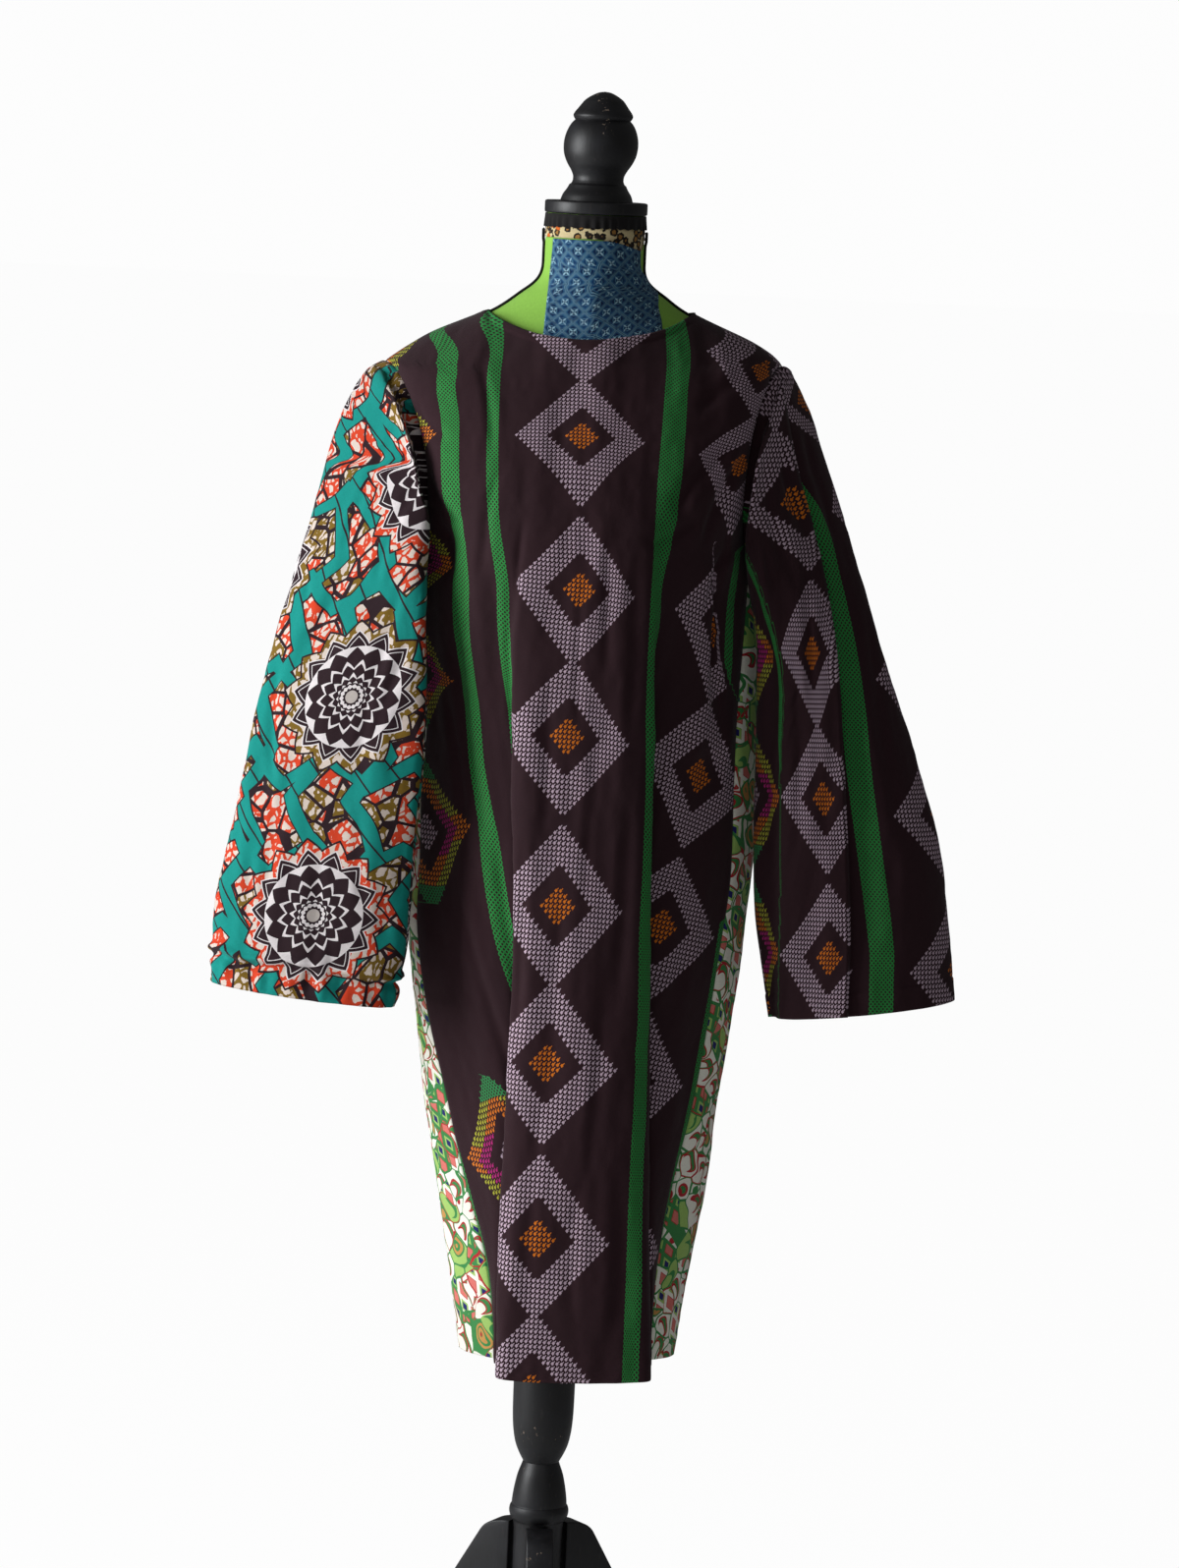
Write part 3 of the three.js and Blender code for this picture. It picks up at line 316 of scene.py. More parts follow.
def track(table, column, along="z"):
    """A smooth curve through a table's column, level beyond its ends, for numbers and arrays."""
    at = [row[along] for row in table]
    value = [row[column] for row in table]
    last = len(at) - 1
    slope = []
    for i in range(last + 1):
        a, b = max(i - 1, 0), min(i + 1, last)
        slope.append((value[b] - value[a]) / (at[b] - at[a]))

    def read(t):
        if isinstance(t, np.ndarray):
            return np.array([read(float(one)) for one in t.ravel()]).reshape(t.shape)
        if t <= at[0] or t >= at[last]:
            return value[0] if t <= at[0] else value[last]
        i = bisect.bisect_right(at, t) - 1
        gap = at[i + 1] - at[i]
        f = (t - at[i]) / gap
        bend = gap * f * (1 - f) * ((1 - f) * slope[i] - f * slope[i + 1])
        return mix(value[i], value[i + 1], f * f * (3 - 2 * f)) + bend

    return read


def tracks(table):
    return {name: track(table, name) for name in table[0]}


def smooth_line(points, fine=12):
    """A smooth curve through points, as a fine row of points with the length at each."""
    p = np.array(points, float)
    p = p[np.r_[True, np.linalg.norm(np.diff(p, axis=0), axis=1) > 1e-6]]
    p = np.vstack([2 * p[0] - p[1], p, 2 * p[-1] - p[-2]])
    t = np.r_[0, np.cumsum(np.sqrt(np.linalg.norm(np.diff(p, axis=0), axis=1)))]
    chord = np.diff(p, axis=0) / np.diff(t)[:, None]
    lean = chord[:-1] + chord[1:] - (p[2:] - p[:-2]) / (t[2:] - t[:-2])[:, None]
    f = np.linspace(0, 1, fine, endpoint=False)[:, None]
    parts = []
    for i in range(len(lean) - 1):
        a, b, gap = p[i + 1], p[i + 2], t[i + 2] - t[i + 1]
        bend = gap * f * (1 - f) * ((1 - f) * lean[i] - f * lean[i + 1])
        parts.append(mix(a, b, ease(f)) + bend)
    line = np.vstack(parts + [p[-2][None]])
    return line, np.r_[0, np.cumsum(np.linalg.norm(np.diff(line, axis=0), axis=1))]


def evenly(line, length, shares):
    """Points of a measured line at shares of its length."""
    at = shares * length[-1]
    return np.stack([np.interp(at, length, line[:, k]) for k in range(line.shape[1])], axis=-1)


def ripple(u, v, width, height, seed):
    """Smooth random waves from -1 to 1, about width by height in size, the same on every run."""
    cells = 64
    grid = np.random.RandomState(seed).uniform(-1, 1, (cells, cells))
    x, y = u / width + 17.3, v / height + 31.7
    i, j = np.floor(x).astype(int), np.floor(y).astype(int)
    fx, fy = ease(x - i), ease(y - j)
    i, j = i % cells, j % cells
    k, l = (i + 1) % cells, (j + 1) % cells
    return mix(mix(grid[i, j], grid[k, j], fx), mix(grid[i, l], grid[k, l], fx), fy)


def waves(u, v, kind, seed):
    """The uneven surface of one kind of cloth piece: ripples of several sizes."""
    sizes = enumerate(WAVES[kind])
    return sum(rise * ripple(u, v, width, length, seed + i) for i, (rise, width, length) in sizes)


def smoothed(values, times):
    """Rows with each moved towards its neighbours."""
    for _ in range(times):
        inner = (values[:-2] + 2 * values[1:-1] + values[2:]) / 4
        values = np.concatenate([values[:1], inner, values[-1:]])
    return values


# ------------------------------------------------------------------ the dress's sections

TIPS = {side: np.add(ring["middle"], ring["tip"]) for side, ring in ARMHOLES.items()}
body = tracks(BODY)
yoke = tracks(YOKE)
form = tracks(FORM)
ridge_width = {side: track(SHOULDERS[side], "x") for side in SHOULDERS}
ridge_height = {side: track(SHOULDERS[side][::-1], "z", "x") for side in SHOULDERS}
neck_edge = {-1: track(NECK_FRONT, "z", "x"), 1: track(NECK_BACK, "z", "x")}
hem_front = track(HEM_FRONT, "z", "at")
pleats = {key: [tracks(table) for table in tables] for key, tables in PLEATS.items()}


def armhole_point(side, angle):
    """A point of an armhole: angle 0 is the shoulder tip, pi / 2 the front, pi the underarm."""
    ring = {name: np.array(value, float) for name, value in ARMHOLES[side].items()}
    out = np.where(np.sin(angle)[..., None] >= 0, ring["front"], ring["back"])
    out = out * np.abs(np.sin(angle))[..., None]
    return ring["middle"] + ring["tip"] * np.cos(angle)[..., None] + out


def seam_point(side, face, z):
    column = ("front" if face < 0 else "back") + ("L" if side == "left" else "R")
    return body[column](z), (-body["seamF"](z) if face < 0 else body["seamB"](z))


def panel_end(side, face, z):
    """Where the front or back ends at a height: on the side seam, armhole or shoulder."""
    if z >= TIPS[side][2]:
        return OUTWARD[side] * ridge_width[side](z), face * SHOULDER_GAP
    if z <= UNDERARM_Z:
        return seam_point(side, face, z)
    ring = ARMHOLES[side]
    angle = math.acos(np.clip((z - ring["middle"][2]) / ring["tip"][2], -1, 1))
    point = armhole_point(side, np.array(-face * angle))
    merge = fade(z, UNDERARM_Z, ARMHOLE_MERGE)
    return tuple(mix(a, b, merge) for a, b in zip(seam_point(side, face, UNDERARM_Z), point))


def plain_y(face, x, z):
    """The cloth's y at x, without its pleats."""
    crest = body["crest"](z)
    side = "left" if x < crest else "right"
    end_x, end_y = panel_end(side, face, z)
    reach = abs(end_x - crest)
    if z <= UNDERARM_Z:
        reach = max(reach, abs(pleats[face, side][0]["x"](z) - crest) + PLEAT_ROOM)
    share = min(abs(x - crest) / reach, 1)
    depth = face * (yoke if z > UNDERARM_Z else body)["front" if face < 0 else "back"](z)
    return mix(end_y, depth, math.sqrt(1 - share ** yoke["square"](max(z, UNDERARM_Z))))


def half_section(side, face, z):
    """Plan points from the middle of a panel to one of its edges at one height."""
    outward = OUTWARD[side]
    end_x, end_y = panel_end(side, face, z)
    start_x = body["grain"](z)
    set_back = 0

    def on_cloth(x):
        return x, plain_y(face, x, z) - face * set_back

    points = [on_cloth(start_x)]
    for pleat in pleats[face, side]:
        edge, tuck, depth = (pleat[name](z) for name in ("x", "tuck", "depth"))
        is_open = min(max(pleat["open"](z), 0), 1)
        if is_open < LEAST_OPEN:
            continue
        start_y = on_cloth(edge)[1]
        step = min(PLEAT_STEP, abs(end_x - edge) / STEPS_TO_EDGE)
        last_x = points[-1][0]
        if abs(edge - last_x) > WIDEST_GAP:
            points.append(on_cloth(mix(last_x, edge, 0.4)))
        points.append(on_cloth(edge - outward * 2 * step))
        for steps, inward, back in PLEAT_TURNS:
            flat_x, flat_y = on_cloth(edge + outward * step * steps)
            fold_x, fold_y = edge - outward * tuck * inward, start_y - face * depth * back
            points.append((mix(flat_x, fold_x, is_open), mix(flat_y, fold_y, is_open)))
        set_back += depth * is_open
    from_x, leave = points[-1] if set_back else points[0]
    for share in AFTER_PLEATS:
        x = mix(from_x, end_x, share)
        straight = mix(leave, end_y, share ** 1.4)
        points.append((x, mix(plain_y(face, x, z), straight, min(set_back / 20, 1))))
    return points + [(end_x, end_y)]


def half_table(side, face):
    """The sections of half a panel, each at even shares of its length."""
    sections = (half_section(side, face, float(z)) for z in LEVELS)
    return smoothed(np.array([evenly(*smooth_line(section), SHARES) for section in sections]), 3)


HALVES = {(face, side): half_table(side, face) for face in (-1, 1) for side in ("left", "right")}


def panel_point(face, share, z):
    """Points of the front or back; share runs from -1, its left edge, to 1, its right edge."""
    level = np.clip((z - LEVELS[0]) / LEVEL_STEP, 0, len(LEVELS) - 1.001)
    row = level.astype(int)
    column = np.abs(share) * (len(SHARES) - 1.001)
    cell = column.astype(int)
    down, across = (level - row)[..., None], (column - cell)[..., None]
    out = np.zeros(share.shape + (3,))
    out[..., 2] = z
    for side, here in (("left", share < 0), ("right", share >= 0)):
        table = HALVES[face, side]
        upper = mix(table[row, cell], table[row, cell + 1], across)
        lower = mix(table[row + 1, cell], table[row + 1, cell + 1], across)
        out[here, :2] = mix(upper, lower, down)[here]
    for i, j in np.argwhere(z > EVEN_WIDTHS["from"]):
        height = float(z[i, j])
        side = "left" if share[i, j] < 0 else "right"
        end_x = panel_end(side, face, min(height, TIPS[side][2] - 0.01))[0]
        x = mix(body["grain"](height), end_x, abs(share[i, j]))
        high = np.array([x, plain_y(face, x, height)])
        on_yoke = fade(height, EVEN_WIDTHS["from"], EVEN_WIDTHS["over"])
        out[i, j, :2] = mix(out[i, j, :2], high, on_yoke)
    return out


def panel_top(face, share):
    """The height of a panel's top edge: the shoulder seam or the neckline."""
    out = np.zeros(share.shape)
    for index, s in enumerate(share):
        side = "left" if s < 0 else "right"
        x = mix(body["grain"](NECK_LEVEL), TIPS[side][0], abs(s))
        neck = NECK_FRONT[0 if side == "left" else -1]["x"]
        out[index] = neck_edge[face](x) if abs(x) < abs(neck) else ridge_height[side](abs(x))
    return out


# ------------------------------------------------------------------ creases

CREASE = "u0 z0 u1 z1 bend width depth"
CREASE_SHOULDER = 0.45  # height of the low shoulders beside a crease, as a share of its depth
# Ripples of each kind of piece, large to small: how far they rise, how wide and how long they are.
WAVES = {
    "panel": ((2.0, 34, 160), (1.1, 15, 60), (0.35, 7, 9)),
    "gusset": ((0.9, 22, 110), (0.3, 7, 9)),
    "sleeve": ((2.0, 30, 120), (1.0, 14, 45), (0.3, 7, 9)),
}


def creased(u, z, table):
    """How far creases push the cloth out: soft grooves with low shoulders and fading ends."""
    out = np.zeros(u.shape)
    for row in table:
        along = np.array([row["u1"] - row["u0"], row["z1"] - row["z0"]], float)
        length = np.linalg.norm(along)
        along /= length
        du, dz = u - row["u0"], z - row["z0"]
        reach = du * along[0] + dz * along[1]
        t = np.clip(reach / length, 0, 1)
        off = du * along[1] - dz * along[0] + row["bend"] * 4 * t * (1 - t)
        ends = ease(4 * t) * ease(4 * (1 - t)) * bell(np.abs(reach - t * length), row["width"])
        shoulders = CREASE_SHOULDER * bell(off, 2 * row["width"])
        out -= row["depth"] * ends * (bell(off, row["width"]) - shoulders)
    return out


FRONT_CREASES = rows(
    CREASE,
    # from the right armhole across the yoke
    (128, 1216, 176, 1318, 10, 7, 4.5), (92, 1248, 166, 1330, 12, 9, 4.0),
    (60, 1226, 128, 1262, -8, 8, 3.0), (112, 1350, 170, 1384, 4, 7, 2.6),
    (140, 1150, 172, 1228, 6, 6, 3.5),
    # from the left armhole
    (-168, 1292, -110, 1232, -8, 8, 3.4), (-176, 1340, -128, 1316, -4, 7, 2.6),
    (-160, 1258, -128, 1180, 6, 7, 3.6), (-106, 1396, -84, 1300, 5, 6, 1.6),
    (-74, 1300, -88, 1180, -5, 6, 1.8),
    # long soft ones down the bust and the skirt
    (-62, 1216, -66, 1010, 3, 5, 2.6), (-50, 1248, -54, 1130, -2, 4, 1.8),
    (28, 1236, 34, 1090, 3, 6, 1.6), (10, 1196, 14, 1040, -3, 5, 1.2),
    (56, 1230, 60, 1030, 4, 8, 2.0), (-20, 1120, -16, 930, 3, 7, 1.2),
    (34, 1060, 30, 860, -4, 7, 1.4), (64, 1000, 62, 760, 3, 8, 2.0),
    (-36, 960, -34, 740, 3, 6, 1.4), (8, 900, 4, 650, -4, 8, 1.3), (46, 820, 42, 600, 4, 7, 1.4),
    (-8, 700, -12, 500, 3, 7, 1.2), (38, 620, 36, 460, -3, 7, 1.5),
    (-34, 640, -34, 440, 2, 6, 1.4), (72, 640, 74, 440, 4, 8, 1.6),
    # the wearer's right flank
    (-118, 1150, -104, 900, -6, 9, 3.2), (-140, 1090, -132, 930, 4, 6, 2.4),
    (-96, 960, -90, 700, 5, 8, 2.2), (-138, 880, -112, 660, 4, 7, 2.0),
    (-120, 720, -104, 520, 3, 7, 1.8),
    # the wearer's left flank
    (104, 1080, 110, 880, -4, 6, 2.6), (134, 1060, 142, 900, 4, 6, 2.0),
    (120, 880, 126, 700, 4, 7, 2.2), (150, 860, 156, 690, -3, 6, 1.8),
    (140, 690, 150, 520, 4, 7, 1.8),
)
BUST_PLEAT = {"z": 1213, "reach": 44, "x": -128, "width": 11, "hide": 17, "depth": 6}
BACK_CREASES = rows(
    CREASE,
    (-150, 1240, -60, 1330, -12, 10, 3.6), (154, 1236, 66, 1322, 12, 10, 3.4),
    (-40, 1380, 46, 1384, -8, 9, 1.8), (-58, 1290, -40, 1020, 5, 9, 2.4),
    (6, 1250, 2, 960, -4, 10, 2.6), (66, 1280, 58, 1000, 4, 8, 2.0),
    (-120, 1130, -108, 880, 5, 8, 2.2), (118, 1120, 110, 870, -5, 8, 2.4),
    (-26, 980, -30, 700, 4, 9, 1.8), (30, 900, 36, 620, -4, 8, 1.8), (-6, 740, -2, 470, 4, 9, 1.8),
    (94, 820, 104, 540, 4, 8, 1.6), (-88, 760, -98, 500, -4, 8, 1.6),
    (48, 600, 50, 440, 3, 7, 1.5),
)
SLEEVE_CREASES = {
    # u is measured from the middle of the front, and z is the distance down the sleeve
    "left": rows(
        CREASE,
        (-78, 60, -58, 190, 6, 7, 3.6), (-50, 110, -66, 300, -8, 9, 4.0),
        (-20, 60, -8, 170, 5, 7, 3.0), (18, 110, 30, 330, -6, 8, 3.4),
        (58, 150, 44, 290, 5, 7, 3.2), (-84, 300, -52, 420, 7, 8, 3.6),
        (-30, 330, -42, 540, 6, 9, 3.2), (4, 380, 14, 570, -5, 7, 2.4),
        (46, 330, 62, 430, 6, 8, 3.0), (-70, 470, -58, 600, -5, 7, 2.6),
        (36, 470, 44, 600, 4, 7, 2.4), (70, 240, 40, 260, 3, 6, 2.4),
        (-92, 226, -60, 250, 4, 6, 3.0), (-74, 420, -44, 438, -3, 6, 2.4),
        (66, 400, 30, 412, 3, 6, 2.2), (120, 120, 132, 420, 8, 12, 3.6),
        (-130, 140, -136, 470, 7, 12, 3.4), (170, 200, 168, 520, 5, 12, 3.0),
    ),
    "right": rows(
        CREASE,
        (-60, 70, -30, 200, 8, 8, 4.4), (-20, 60, 6, 200, 8, 8, 4.0),
        (34, 60, 44, 220, 5, 8, 3.2), (-66, 190, -48, 420, -6, 8, 3.0),
        (14, 250, 22, 480, -5, 8, 2.4), (58, 240, 66, 500, 5, 9, 2.8),
        (-58, 430, -52, 600, 4, 7, 2.4), (-20, 160, -34, 300, 5, 7, 3.0),
        (80, 120, 92, 360, 4, 9, 2.6), (44, 480, 50, 600, -3, 8, 2.0),
        (-84, 100, -70, 150, 4, 6, 3.0), (-76, 250, -50, 262, 3, 6, 2.0),
        (130, 120, 136, 460, 8, 12, 3.4), (-130, 150, -128, 440, 7, 12, 3.2),
        (176, 200, 172, 520, 5, 12, 3.0),
    ),
}
# How far each side panel stands out past the plain curve from front to back.
SIDE_SWELL = rows(
    "z left right", (415, 0, 0), (500, 0, 0), (600, 0, 4), (650, 1, 6), (715, 2, 9), (790, 4, 7),
    (855, 5, 4), (900, 4, 6), (930, 3, 9), (1018, 1, 13.5), (1107, 1, 12.5), (1160, 1, 5),
    (1206, 0, 0),
)
SIDE_CREASES = rows(
    CREASE,
    (-14, 1120, -10, 900, 3, 6, 1.8), (12, 1000, 14, 760, -3, 6, 1.6),
    (-18, 800, -16, 560, 3, 6, 1.6), (16, 700, 12, 470, 3, 6, 1.4),
)

# ------------------------------------------------------------------ cloth pieces


def place(points):
    """From millimetres off the stand's axis to the frame's metres."""
    return np.asarray(points) * MM + AXIS


def lengths_along(points, axis, start):
    """Distances along one axis of a grid of points, counted from the given index."""
    step = np.linalg.norm(np.diff(points, axis=axis), axis=-1)
    whole = np.insert(np.cumsum(step, axis=axis), 0, 0, axis=axis)
    return whole - np.take(whole, [start], axis=axis)


def normals_of(points, around=False):
    """The grid's normals, pointing out when rows run down and columns to the viewer's right."""
    down = np.gradient(points, axis=0)
    across = np.gradient(points, axis=1)
    if around:
        across[:, 0] = across[:, -1] = points[:, 1] - points[:, -2]
    normal = np.cross(down, across)
    return normal / np.maximum(np.linalg.norm(normal, axis=-1, keepdims=True), 1e-9)


def turned_edge(distance, width, rise=0.7):
    """How far a turned and stitched edge stands proud, at a distance from it."""
    stitch = bell(distance - width + STITCH["inset"], STITCH["width"])
    return rise * fade(distance, width, -2.5) - STITCH["depth"] * stitch


def seam_dip(distance, depth, width=2.2):
    """The cloth sinks a little into a seam."""
    return -depth * bell(distance, width)


def close_rows(count, length, width=20.0, step=1.2):
    """Shares from 0 to 1, evenly spaced, with closer ones over the last width millimetres."""
    near = 1 - np.arange(0, width, step)[::-1] / length
    return np.concatenate([np.linspace(0, near[0], count - len(near) + 1)[:-1], near])


def cloth_map(u, v):
    """The map that threads and prints follow, in metres."""
    return np.stack([u, v], axis=-1) * MM


def link(piece):
    bpy.context.scene.collection.objects.link(piece)
    return piece


def mesh_from(name, shape):
    """A mesh of its own from the shape that was modelled."""
    mesh = bpy.data.meshes.new(name)
    shape.to_mesh(mesh)
    shape.free()
    return mesh


def cloth_piece(name, points, maps, finish, wall=CLOTH_WALL):
    """A thin shell of cloth: a flat grid with its vertices moved to their places, and a wall."""
    down, across = points.shape[:2]
    shape = bmesh.new()
    bmesh.ops.create_grid(shape, x_segments=across - 1, y_segments=down - 1, size=0.5)
    mesh = mesh_from(name, shape)
    flat = np.zeros(len(mesh.vertices) * 3)
    mesh.vertices.foreach_get("co", flat)
    flat = flat.reshape(-1, 3)
    column = np.rint((flat[:, 0] + 0.5) * (across - 1)).astype(int)
    row = np.rint((0.5 - flat[:, 1]) * (down - 1)).astype(int)
    mesh.vertices.foreach_set("co", place(points)[row, column].ravel())
    corner = np.zeros(len(mesh.loops), int)
    mesh.loops.foreach_get("vertex_index", corner)
    for title, values in maps.items():
        layer = mesh.uv_layers.new(name=title)
        layer.data.foreach_set("uv", values[row[corner], column[corner]].ravel())
    shape = bmesh.new()
    shape.from_mesh(mesh)
    bmesh.ops.remove_doubles(shape, verts=shape.verts, dist=SAME_PLACE)
    shape.to_mesh(mesh)
    shape.free()
    mesh.polygons.foreach_set("use_smooth", [True] * len(mesh.polygons))
    mesh.materials.append(finish)
    piece = link(bpy.data.objects.new(name, mesh))
    solidify = piece.modifiers.new("wall", "SOLIDIFY")
    solidify.thickness = wall * MM
    solidify.offset = 0
    return piece


def hung(piece, node):
    """Hangs a cloth piece from the root, and hides the part that it stands for."""
    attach(piece, "root")
    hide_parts(node)


# The chart of the plum print on the front: which row of cells lies at each height, how wide the
# cells are, and how the print runs lower (drop) or shifts (the others) on its way to the sides,
# where folds take it in.
CHART_ROWS = rows(
    "z row", (413, -153.5), (554, -125.5), (647, -108), (725, -92.5), (802, -77.5), (878, -62.5),
    (966, -45), (1041, -29.5), (1112, -14.5), (1181, 0.5), (1250, 16), (1298, 26), (1350, 41),
    (1402, 56), (1440, 67), (1540, 90),
)
CHART_PITCH = rows(
    "z pitch", (413, 4.5), (549, 4.44), (874, 4.3), (1177, 4.12), (1324, 4.05), (1450, 4.05),
)
CHART_DROP = rows(
    "z left right", (413, -80, 12), (623, -77, 14), (725, -74, 20), (860, -70, 24), (939, -67, 36),
    (1086, -60, 44), (1150, -40, 46), (1200, -18, 38), (1265, 2, 29), (1320, 10, 30),
    (1384, 10, 35), (1440, 10, 40),
)
CHART_SHIFT = rows(
    "z middle right edge far left flank",
    (413, 0, 2, 9, 0, -108, -12), (552, 0.7, 2, 11, 0, -105, -12), (623, 1, 2, 14, 0, -102, -12),
    (685, 1, 2, 19, 0, -90, -12), (705, 1, 2, 19, 0, -85, -12), (725, 1, 2, 18, 0, -78, -12),
    (740, 1, 3, 16, 0, -70, -12), (762, 0, 3, 14, 0, -62, -12), (809, -1, 5, 9, 0, -52, -12),
    (860, -2, 7, 8, 0, -43.5, -12), (925, -2, 7, 5, 0, -35, -11), (1004, -2, 7, 3, 0, -26.5, -10),
    (1065, -3, 10, 5, 1, -25.5, -8), (1144, -5, 13, 8, 3, -17, -6),
    (1184, -7, 15, 12, 2, -13, 0), (1240, -4, 10, 4, 14, -5, 0), (1282, -3, 8, 1, 22, -2, 0),
    (1330, -2, 4, 0, 8, 0, 0), (1390, -1, 0, 0, 0, 0, 0),
)
# How the print leans outwards on the shoulders: how much, from which height on, and over what
# height.
SHOULDER_LEAN = {"left": ((0.15, 1325, 50), (0.48, 1390, 40)), "right": ((0.14, 1370, 42),)}
LEAN_FROM = 75  # this far out from the middle
# What the skirt's green stripe loses in its small tuck, and what the short pleat below the armhole
# takes in.
STRIPE_STEP = {"taken": 11, "levels": (1000, -150), "across": (88, 13)}
FLANK_STEP = {"taken": 68, "levels": (1236, -20)}
# Where that pleat's edge crosses the print: it runs down to the side seam.
FLANK_FOLD = rows(
    "z x", (1020, 180), (1064, 164), (1083, 152), (1103, 142), (1128, 135), (1150, 132),
    (1185, 130), (1240, 126),
)
# A narrow stripe along the side seam, and the part of the flank without a print, from a column
# out.
SEAM_STRIPE = {"reach": 9, "column": 65.7, "columns": 0.31, "below": 860}
PLAIN_FLANK = {"column": -36.6, "low": 706, "high": 862}
CHART_REACH = 190  # how far out the drops are given for
PLEAT_MARGIN = 3.5  # a pleat hides the print from this far before its edge
BACK_CHART = {"pitch": 4.3, "height": 4.9, "level": 1177, "row": 11}


def in_pleat(points, u, side, index=0, share=1.7, least=6, edge=None):
    """0 before a pleat of the front, 1 beyond it, changing in the hidden part."""
    outward, pleat, z = OUTWARD[side], pleats[-1, side][index], points[..., 2]
    ahead = outward * (points[..., 0] - (edge or pleat["x"])(z))
    past = (ahead > -PLEAT_MARGIN) & (outward * u > 0)
    first = np.where(past, outward * u, np.inf).min(axis=1, keepdims=True)
    return ease((outward * u - first) / (share * pleat["tuck"](z) + least))


def front_chart(points, u):
    """The plum print's columns and rows on the front, with what the pleats hide left out."""
    z = points[..., 2]
    row, pitch = track(CHART_ROWS, "row"), track(CHART_PITCH, "pitch")
    drop = {side: track(CHART_DROP, side)(z) for side in OUTWARD}
    shift = {name: track(CHART_SHIFT, name)(z) for name in CHART_SHIFT[0] if name != "z"}
    leans = {
        side: sum(lean * fade(z, *level) for lean, *level in steps)
        for side, steps in SHOULDER_LEAN.items()
    }
    tucked = in_pleat(points, u, "left")
    reach = np.abs(u) / CHART_REACH
    curve = 0.22 * reach + 0.78 * reach ** 2
    folded = tucked * (1 - 0.18 * fade(u, -125, -45))
    left_fall = drop["left"] * mix(curve, folded, fade(z, 1110, -60))
    fall = np.where(u < 0, left_fall, drop["right"] * curve)

    lean = np.where(u < 0, leans["left"], leans["right"])
    across = u - np.sign(u) * (lean * np.maximum(np.abs(u) - LEAN_FROM, 0)) + shift["middle"]
    across += shift["right"] * fade(u, 8, 62)
    step = STRIPE_STEP["taken"] * fade(z, *STRIPE_STEP["levels"])
    across += step * fade(across, *STRIPE_STEP["across"])
    across += shift["edge"] * in_pleat(points, u, "right") + shift["left"] * tucked
    across += shift["far"] * fade(u, 108, 44) + shift["flank"] * fade(u, -130, -50)
    folded_in = in_pleat(points, u, "right", 1, 0.9, 2, track(FLANK_FOLD, "x"))
    across += FLANK_STEP["taken"] * fade(z, *FLANK_STEP["levels"]) * folded_in

    column = across / pitch(z)
    plain = (u < 0) & (z > PLAIN_FLANK["low"]) & (z < PLAIN_FLANK["high"])
    column = np.where(plain, np.maximum(column, PLAIN_FLANK["column"]), column)
    from_seam = u[:, -1:] - u
    striped = (from_seam < SEAM_STRIPE["reach"]) & (z < SEAM_STRIPE["below"])
    stripe = SEAM_STRIPE["column"] + (SEAM_STRIPE["reach"] - from_seam) * SEAM_STRIPE["columns"]
    return np.stack([np.where(striped, stripe, column), row(z + fall)], axis=-1)


def back_chart(z, u):
    """The same print laid evenly on the back."""
    pitch, height, level, row = (BACK_CHART[name] for name in ("pitch", "height", "level", "row"))
    return np.stack([-u / pitch, (z - level) / height + row], axis=-1)


def bust_pleat(points, z):
    """A short pleat at the wearer's right armhole: its depth, and how much print it hides."""
    near = ease(1 - np.abs(z - BUST_PLEAT["z"]) / BUST_PLEAT["reach"])
    beyond = (points[..., 0] - BUST_PLEAT["x"]) / BUST_PLEAT["width"]
    depth, hide = BUST_PLEAT["depth"] * near, BUST_PLEAT["hide"] * near
    return depth * bell(beyond, 1), hide * ease(0.5 - beyond / 2)


def panel(name, face, across, creases, seed):
    """The front or the back, from the shoulders and the neckline to the hem."""
    left, right = np.linspace(-1, 0, across[0] + 1), np.linspace(0, 1, across[1] + 1)
    shares = np.concatenate([left[:-1], right])
    top = panel_top(face, shares)
    bottom = hem_front((shares + 1) / 2) if face < 0 else np.full(len(shares), float(HEM_LEVEL))
    upper = 1 - close_rows(ROWS["yoke"], 220, 12, 1.5)[::-1]
    lower = close_rows(ROWS["skirt"], UNDERARM_Z - HEM_LEVEL)
    above = mix(top[None], UNDERARM_Z, upper[:-1, None])
    z = np.vstack([above, mix(UNDERARM_Z, bottom[None], lower[:, None])])
    points = panel_point(face, np.broadcast_to(shares, z.shape), z)
    u, v = lengths_along(points, 1, across[0]), lengths_along(points, 0, len(upper) - 1)
    from_top, from_bottom = top[None] - z, z - bottom[None]
    from_side = np.minimum(u - u[:, :1], u[:, -1:] - u)
    on_neck = (np.abs(points[0, :, 0]) < NECK_REACH)[None]

    out = 1.5 * creased(-face * u, z, creases) + waves(u, z, "panel", seed)
    out *= 0.12 + 0.88 * ease(from_side / 14) * ease(np.minimum(from_top, from_bottom + 6) / 12)
    out += turned_edge(from_bottom, HEM_WIDTH) + turned_edge(from_top, 9, 0.5) * on_neck
    out += seam_dip(from_side, SEAM_DEPTH) + seam_dip(from_top, 0.9) * ~on_neck
    if face < 0:
        depth, hidden = bust_pleat(points, z)
        out -= depth
        u = u - hidden
    points = points - face * normals_of(points) * out[..., None]
    to_seam = (0.1 * face - points[0, :, 1]) * fade(np.abs(points[0, :, 0]), 93, 9)
    points[..., 1] += to_seam[None] * bell(v - v[:1], 12)
    chart = front_chart(points, u) if face < 0 else back_chart(z, u)
    if face > 0:
        points, u, v, chart = points[:, ::-1], -u[:, ::-1], v[:, ::-1], chart[:, ::-1]
    return cloth_piece(name, points, {"cloth": cloth_map(u, -v), "chart": chart}, PLUM)


